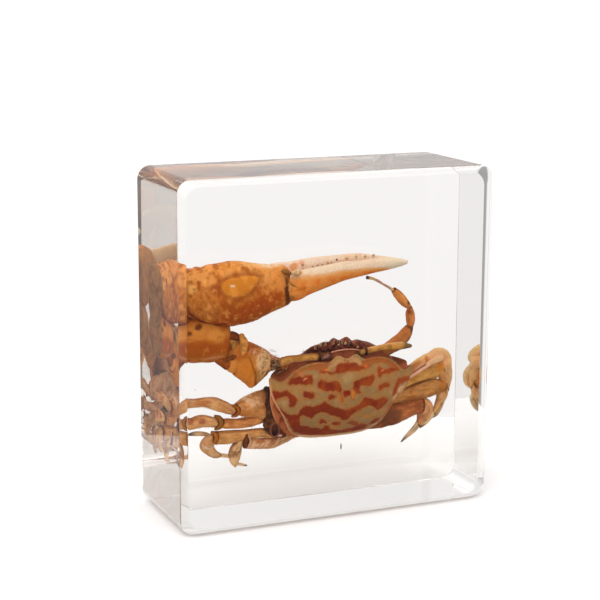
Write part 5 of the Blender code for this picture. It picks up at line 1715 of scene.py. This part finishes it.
def add_mouth_bristles(surface):
    """Dark hairs at the mouth's corner, fine ones over it and thick ones along its upper edge."""
    for start, end in MOUTH_HAIRS:
        hair(surface, start, end, 0.07, HAIR_DARK)
    for a, b, c in scatter(50, 77):
        root = (-4.0 + 12.5 * a, 0.8 + 0.6 * c, 34.6 + 1.9 * b)
        hair(surface, root, (root[0] + 0.4 * (c - 0.5), root[1] - 0.5, root[2] + 0.6), HAIR_THICK, HAIR_DARK)
    for a, b, c in scatter(48, 78):
        root = (-4.2 + 11.6 * a, 0.2 + 0.6 * c, 35.3 + 1.5 * sin(pi * a))
        tip = (root[0] + 0.6 * (c - 0.5), root[1] - 0.3, root[2] + 0.5 + 0.6 * b)
        hair(surface, root, tip, 0.09, HAIR_DARK if b < 0.65 else BRISTLE_PALE, 0.0)


def build_mouthparts(material):
    """Mouthparts between the eyestalks: two folds, knobs, the pale brow line and bristles."""
    surface = Surface()
    for rings in MOUTHPARTS.values():
        tube = Tube(rings, sides=20, step=0.25)
        tube.roughen(0.12, 0.8, 71)
        surface.add_tube(tube, marble(MOUTH_DARK, (150, 96, 72), (0.0, 0.7), tube.points, 0.7, 72, 1))
    for x, y, z, radius, kind in MOUTH_KNOBS:
        paint = (MOUTH_DARK, MOUTH_CREAM, MOUTH_MAUVE)[kind]
        lump(surface, (x, y, z), (radius, 0.9 * radius, radius), paint, np.array(MOUTH_DARK) * 0.75, 16)
    for a, b in zip(BROW_LINE, BROW_LINE[1:]):
        tube = Tube(((*a, 0.15, 0.15), (*b, 0.15, 0.15)), sides=8, step=0.3)
        surface.add_tube(tube, tint(len(tube.points), BROW_PINK))
    add_mouth_bristles(surface)
    return surface.build("crab_mouthparts", material)


def build_flap(material):
    """The abdomen, folded flat under the belly, with a seam between its segments."""
    surface = Surface()
    tube = Tube(ABDOMEN_FLAP, sides=36, step=0.2, power=3.0)
    seam = np.abs((tube.along * ABDOMEN_SEGMENTS) % 1.0 - 0.5)
    tube.push(0.10 - 0.22 * smooth(0.36, 0.5, seam) + 0.03 * noise(tube.points, 0.9, 81, 2))
    surface.add_tube(tube, mix(tint(len(tube.points), FLAP_TAN), FLAP_SEAM, smooth(0.40, 0.5, seam)))
    return surface.build("crab_abdomen_flap", material)


def build_specks(material):
    """Dark fibres and dust grains caught in the resin."""
    surface = Surface()
    for x, y, z, wide, tall in SPECKS:
        lump(surface, (x, y, z), (wide, wide, tall), SPECK_GREY, None, 10)
    return surface.build("resin_specks", material)


def gradient(nodes, links, source, low, high, start, end, kind="SMOOTHSTEP"):
    """A change from start to end as the source goes from low to high."""
    made = nodes.new("ShaderNodeMapRange")
    made.interpolation_type = kind
    made.inputs["From Min"].default_value = low
    made.inputs["From Max"].default_value = high
    made.inputs["To Min"].default_value = start
    made.inputs["To Max"].default_value = end
    links.new(source, made.inputs["Value"])
    return made.outputs["Result"]


def texture(nodes, links, place, scale, detail):
    """A noise texture in the piece's own space."""
    made = nodes.new("ShaderNodeTexNoise")
    made.inputs["Scale"].default_value = scale
    made.inputs["Detail"].default_value = detail
    links.new(place.outputs["Object"], made.inputs["Vector"])
    return made


def shell_material(name, gloss, bump_size):
    """Painted shell with fine mottling, uneven gloss and a pitted surface."""
    made = bpy.data.materials.new(name)
    made.use_nodes = True
    nodes, links = made.node_tree.nodes, made.node_tree.links
    shader = nodes["Principled BSDF"]
    paint = nodes.new("ShaderNodeAttribute")
    paint.attribute_name = "paint"
    place = nodes.new("ShaderNodeTexCoord")
    mottles = texture(nodes, links, place, MOTTLE_SCALE, 5.0)
    mottles.inputs["Roughness"].default_value = 0.65
    level = gradient(nodes, links, mottles.outputs["Fac"], *NOISE_SPAN, *MOTTLE_LEVELS, "LINEAR")
    shade = nodes.new("ShaderNodeVectorMath")
    shade.operation = "SCALE"
    links.new(paint.outputs["Color"], shade.inputs[0])
    links.new(level, shade.inputs["Scale"])
    links.new(shade.outputs["Vector"], shader.inputs["Base Color"])
    sheen = texture(nodes, links, place, SHEEN_SCALE, 3.0)
    rough = gradient(nodes, links, sheen.outputs["Fac"], *NOISE_SPAN, gloss - 0.1, gloss + 0.15, "LINEAR")
    links.new(rough, shader.inputs["Roughness"])
    pits = texture(nodes, links, place, 1.0 / (bump_size * MM), 4.0)
    bump = nodes.new("ShaderNodeBump")
    bump.inputs["Strength"].default_value = 0.35
    bump.inputs["Distance"].default_value = PIT_DEPTH * MM
    links.new(pits.outputs["Fac"], bump.inputs["Height"])
    links.new(bump.outputs["Normal"], shader.inputs["Normal"])
    shader.inputs["Specular IOR Level"].default_value = 0.08
    return made


def resin_material():
    """Clear resin: plain transmission, IOR and absorption."""
    made = bpy.data.materials.new("clear_resin")
    made.use_nodes = True
    nodes, links = made.node_tree.nodes, made.node_tree.links
    shader = nodes["Principled BSDF"]
    shader.inputs["Base Color"].default_value = (1.0, 1.0, 1.0, 1.0)
    shader.inputs["Roughness"].default_value = 0.0
    shader.inputs["IOR"].default_value = RESIN_IOR
    shader.inputs["Transmission Weight"].default_value = 1.0
    absorb = nodes.new("ShaderNodeVolumeAbsorption")
    absorb.inputs["Color"].default_value = (*RESIN_TINT, 1.0)
    absorb.inputs["Density"].default_value = RESIN_DENSITY
    links.new(absorb.outputs["Volume"], nodes["Material Output"].inputs["Volume"])
    return made


def outline_ring(widths, share, y):
    """A rounded rectangle in the plane y, drawn in from the block's outline by a share of the widths."""
    left, right, bottom, top = (width * share for width in widths)
    spots = (
        (BLOCK_SIZE[0] / 2 - right, BLOCK_SIZE[2] - top, -1, -1),
        (-BLOCK_SIZE[0] / 2 + left, BLOCK_SIZE[2] - top, 1, -1),
        (-BLOCK_SIZE[0] / 2 + left, bottom, 1, 1),
        (BLOCK_SIZE[0] / 2 - right, bottom, -1, 1),
    )
    ring = []
    for quarter, (x, z, inward, upward) in enumerate(spots):
        for step in range(CORNER_STEPS + 1):
            angle = (quarter + step / CORNER_STEPS) * pi / 2
            ring.append(((x + CORNER_RADIUS * (inward + cos(angle))) * MM, y * MM,
                         (z + CORNER_RADIUS * (upward + sin(angle))) * MM))
    return ring


def block_rings():
    """Rounded rectangles from the front face over both rims to the back face."""
    half_depth = BLOCK_SIZE[1] / 2
    angles = [step / RIM_STEPS * pi / 2 for step in range(RIM_STEPS + 1)]
    rings = []
    for angle in angles:
        inward = 1.0 - sin(angle) ** (2.0 / RIM_POWER)
        behind = FRONT_RIM_DEPTH * (1.0 - cos(angle) ** (2.0 / RIM_POWER))
        rings.append(outline_ring(FRONT_RIM_WIDTHS, inward, -half_depth + behind))
    for angle in angles:
        y = half_depth - BACK_RIM_RADIUS * (1.0 - sin(angle))
        rings.append(outline_ring((BACK_RIM_RADIUS,) * 4, 1.0 - cos(angle), y))
    return rings


def build_block():
    """The clear block, with smooth rims between flat faces."""
    rings = block_rings()
    count = len(rings[0])
    faces = [tuple(range(count)), tuple(reversed(range((len(rings) - 1) * count, len(rings) * count)))]
    for i in range(len(rings) - 1):
        faces += band(i * count, (i + 1) * count, count)
    mesh = bpy.data.meshes.new("resin_block")
    mesh.from_pydata([point for ring in rings for point in ring], [], faces)
    mesh.shade_smooth()
    mesh.materials.append(resin_material())
    made = new_object("resin_block", mesh)
    normals = made.modifiers.new("flat_face_normals", "WEIGHTED_NORMAL")
    normals.mode = "FACE_AREA"
    normals.weight = 100
    return made


def build_camera():
    """The camera of the photograph: azimuth 0 looks along +Y, and it leans by the roll."""
    a, e, roll = CAMERA_AZIMUTH, CAMERA_ELEVATION, CAMERA_ROLL
    back = Vector((sin(a) * cos(e), -cos(a) * cos(e), sin(e)))
    right = Vector((cos(a), sin(a), 0.0))
    up = back.cross(right)
    aim = Vector(CAMERA_AIM) + right * CAMERA_AIM_RIGHT + up * CAMERA_AIM_UP
    right, up = right * cos(roll) + up * sin(roll), up * cos(roll) - right * sin(roll)
    camera = new_object("camera", bpy.data.cameras.new("camera"))
    camera.data.sensor_width = SENSOR_WIDTH
    camera.data.lens = FOCAL_PIXELS / PHOTO_WIDTH * SENSOR_WIDTH
    camera.data.clip_start, camera.data.clip_end = CAMERA_CLIP
    place = Matrix((right, up, back)).transposed().to_4x4()
    place.translation = (aim + back * CAMERA_DISTANCE) * MM
    camera.matrix_world = place
    bpy.context.scene.camera = camera


def combine(nodes, links, operation, first, second):
    """A sum or product of two values."""
    made = nodes.new("ShaderNodeMath")
    made.operation = operation
    links.new(first, made.inputs[0])
    links.new(second, made.inputs[1])
    return made.outputs["Value"]


def blend(nodes, links, factor, first, second):
    """The first value where the factor is 0, the second where it is 1."""
    made = nodes.new("ShaderNodeMix")
    made.data_type = "FLOAT"
    links.new(factor, made.inputs["Factor"])
    for socket, value in (("A", first), ("B", second)):
        if isinstance(value, float):
            made.inputs[socket].default_value = value
        else:
            links.new(value, made.inputs[socket])
    return made.outputs["Result"]


def light_below(nodes, links, x, y):
    """Light below the horizon: white behind the block, dim on the camera's side, a dark gap at the left."""
    def rise(source, span, start, end):
        return gradient(nodes, links, source, *span, start, end)

    def product(first, second):
        return combine(nodes, links, "MULTIPLY", first, second)

    behind = product(rise(y, WORLD_BEHIND_SPAN, WORLD_BESIDE, WORLD_BEHIND),
                     rise(y, WORLD_CAMERA_SPAN, WORLD_CAMERA_SIDE / WORLD_BESIDE, 1.0))
    below = product(behind, rise(x, WORLD_LEFT_SPAN, WORLD_LEFT, 1.0))
    outer, inner = ((side - WORLD_GAP_BLUR, side + WORLD_GAP_BLUR) for side in WORLD_GAP_SIDES)
    gap = product(rise(x, outer, 0.0, 1.0), rise(x, inner, 1.0, 0.0))
    gap = product(gap, rise(y, WORLD_GAP_SPAN, 0.0, 1.0))
    return blend(nodes, links, gap, below, WORLD_GAP)


def build_world():
    """A soft studio: one light level below the horizon, one above, and a broad lamp overhead."""
    world = bpy.data.worlds.new("studio")
    bpy.context.scene.world = world
    world.use_nodes = True
    nodes, links = world.node_tree.nodes, world.node_tree.links
    background = nodes["Background"]
    place = nodes.new("ShaderNodeTexCoord")
    split = nodes.new("ShaderNodeSeparateXYZ")
    links.new(place.outputs["Generated"], split.inputs["Vector"])
    x, y, z = (split.outputs[axis] for axis in "XYZ")
    below = light_below(nodes, links, x, y)
    above = gradient(nodes, links, z, *WORLD_OVERHEAD_SPAN, WORLD_HORIZON, WORLD_OVERHEAD)
    level = blend(nodes, links, gradient(nodes, links, z, *WORLD_HORIZON_SPAN, 0.0, 1.0), below, above)
    facing = nodes.new("ShaderNodeVectorMath")
    facing.operation = "DOT_PRODUCT"
    links.new(place.outputs["Generated"], facing.inputs[0])
    facing.inputs[1].default_value = Vector(KEY_DIRECTION).normalized()
    key = gradient(nodes, links, facing.outputs["Value"], *KEY_SPAN, 0.0, KEY_STRENGTH)
    level = combine(nodes, links, "ADD", level, key)
    seen = nodes.new("ShaderNodeLightPath")
    level = blend(nodes, links, seen.outputs["Is Camera Ray"], level, WORLD_SEEN)
    links.new(level, background.inputs["Strength"])
    background.inputs["Color"].default_value = (1.0, 1.0, 1.0, 1.0)


def build_floor():
    """A pale oval of paper under the block."""
    corners = []
    for step in range(FLOOR_SIDES):
        angle = 2 * pi * step / FLOOR_SIDES
        across, deep = FLOOR_HALF_WIDTH * cos(angle), FLOOR_BEHIND + FLOOR_HALF_DEPTH * sin(angle)
        corners.append((across * MM, deep * MM, -FLOOR_GAP * MM))
    mesh = bpy.data.meshes.new("floor")
    mesh.from_pydata(corners, [], [tuple(range(FLOOR_SIDES))])
    floor = new_object("floor", mesh)
    paper = bpy.data.materials.new("floor_paper")
    paper.use_nodes = True
    shader = paper.node_tree.nodes["Principled BSDF"]
    shader.inputs["Base Color"].default_value = (*FLOOR_TONE, 1.0)
    shader.inputs["Roughness"].default_value = 0.8
    shader.inputs["Specular IOR Level"].default_value = 0.0
    mesh.materials.append(paper)


def set_look():
    """Plain colours, and enough light bounces for a thick clear block."""
    scene = bpy.context.scene
    scene.view_settings.view_transform = "Standard"
    scene.cycles.max_bounces = 24
    scene.cycles.transmission_bounces = 24
    scene.cycles.glossy_bounces = 16
    scene.cycles.diffuse_bounces = 4


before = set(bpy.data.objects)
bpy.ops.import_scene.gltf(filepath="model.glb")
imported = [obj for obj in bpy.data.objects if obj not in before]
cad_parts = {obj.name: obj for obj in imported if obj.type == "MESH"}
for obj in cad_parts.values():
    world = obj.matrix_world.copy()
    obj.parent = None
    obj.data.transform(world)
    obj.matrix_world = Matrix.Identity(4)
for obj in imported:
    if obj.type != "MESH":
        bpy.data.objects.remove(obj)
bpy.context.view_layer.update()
build_camera()
build_world()
build_floor()
set_look()

shell = shell_material("crab_back", 0.40, 0.35)
limb_shell = shell_material("crab_limbs", 0.45, 0.30)
pieces = [
    build_body(shell),
    build_large_claw(limb_shell),
    build_small_claw(limb_shell),
    build_legs(limb_shell),
    build_eyestalks(limb_shell),
    build_mouthparts(limb_shell),
    build_flap(limb_shell),
    build_specks(limb_shell),
]
for piece in pieces:
    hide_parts("fiddler_crab")
    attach(piece, "root")
block = build_block()
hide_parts("resin_front_half", "resin_back_half")
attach(block, "root")
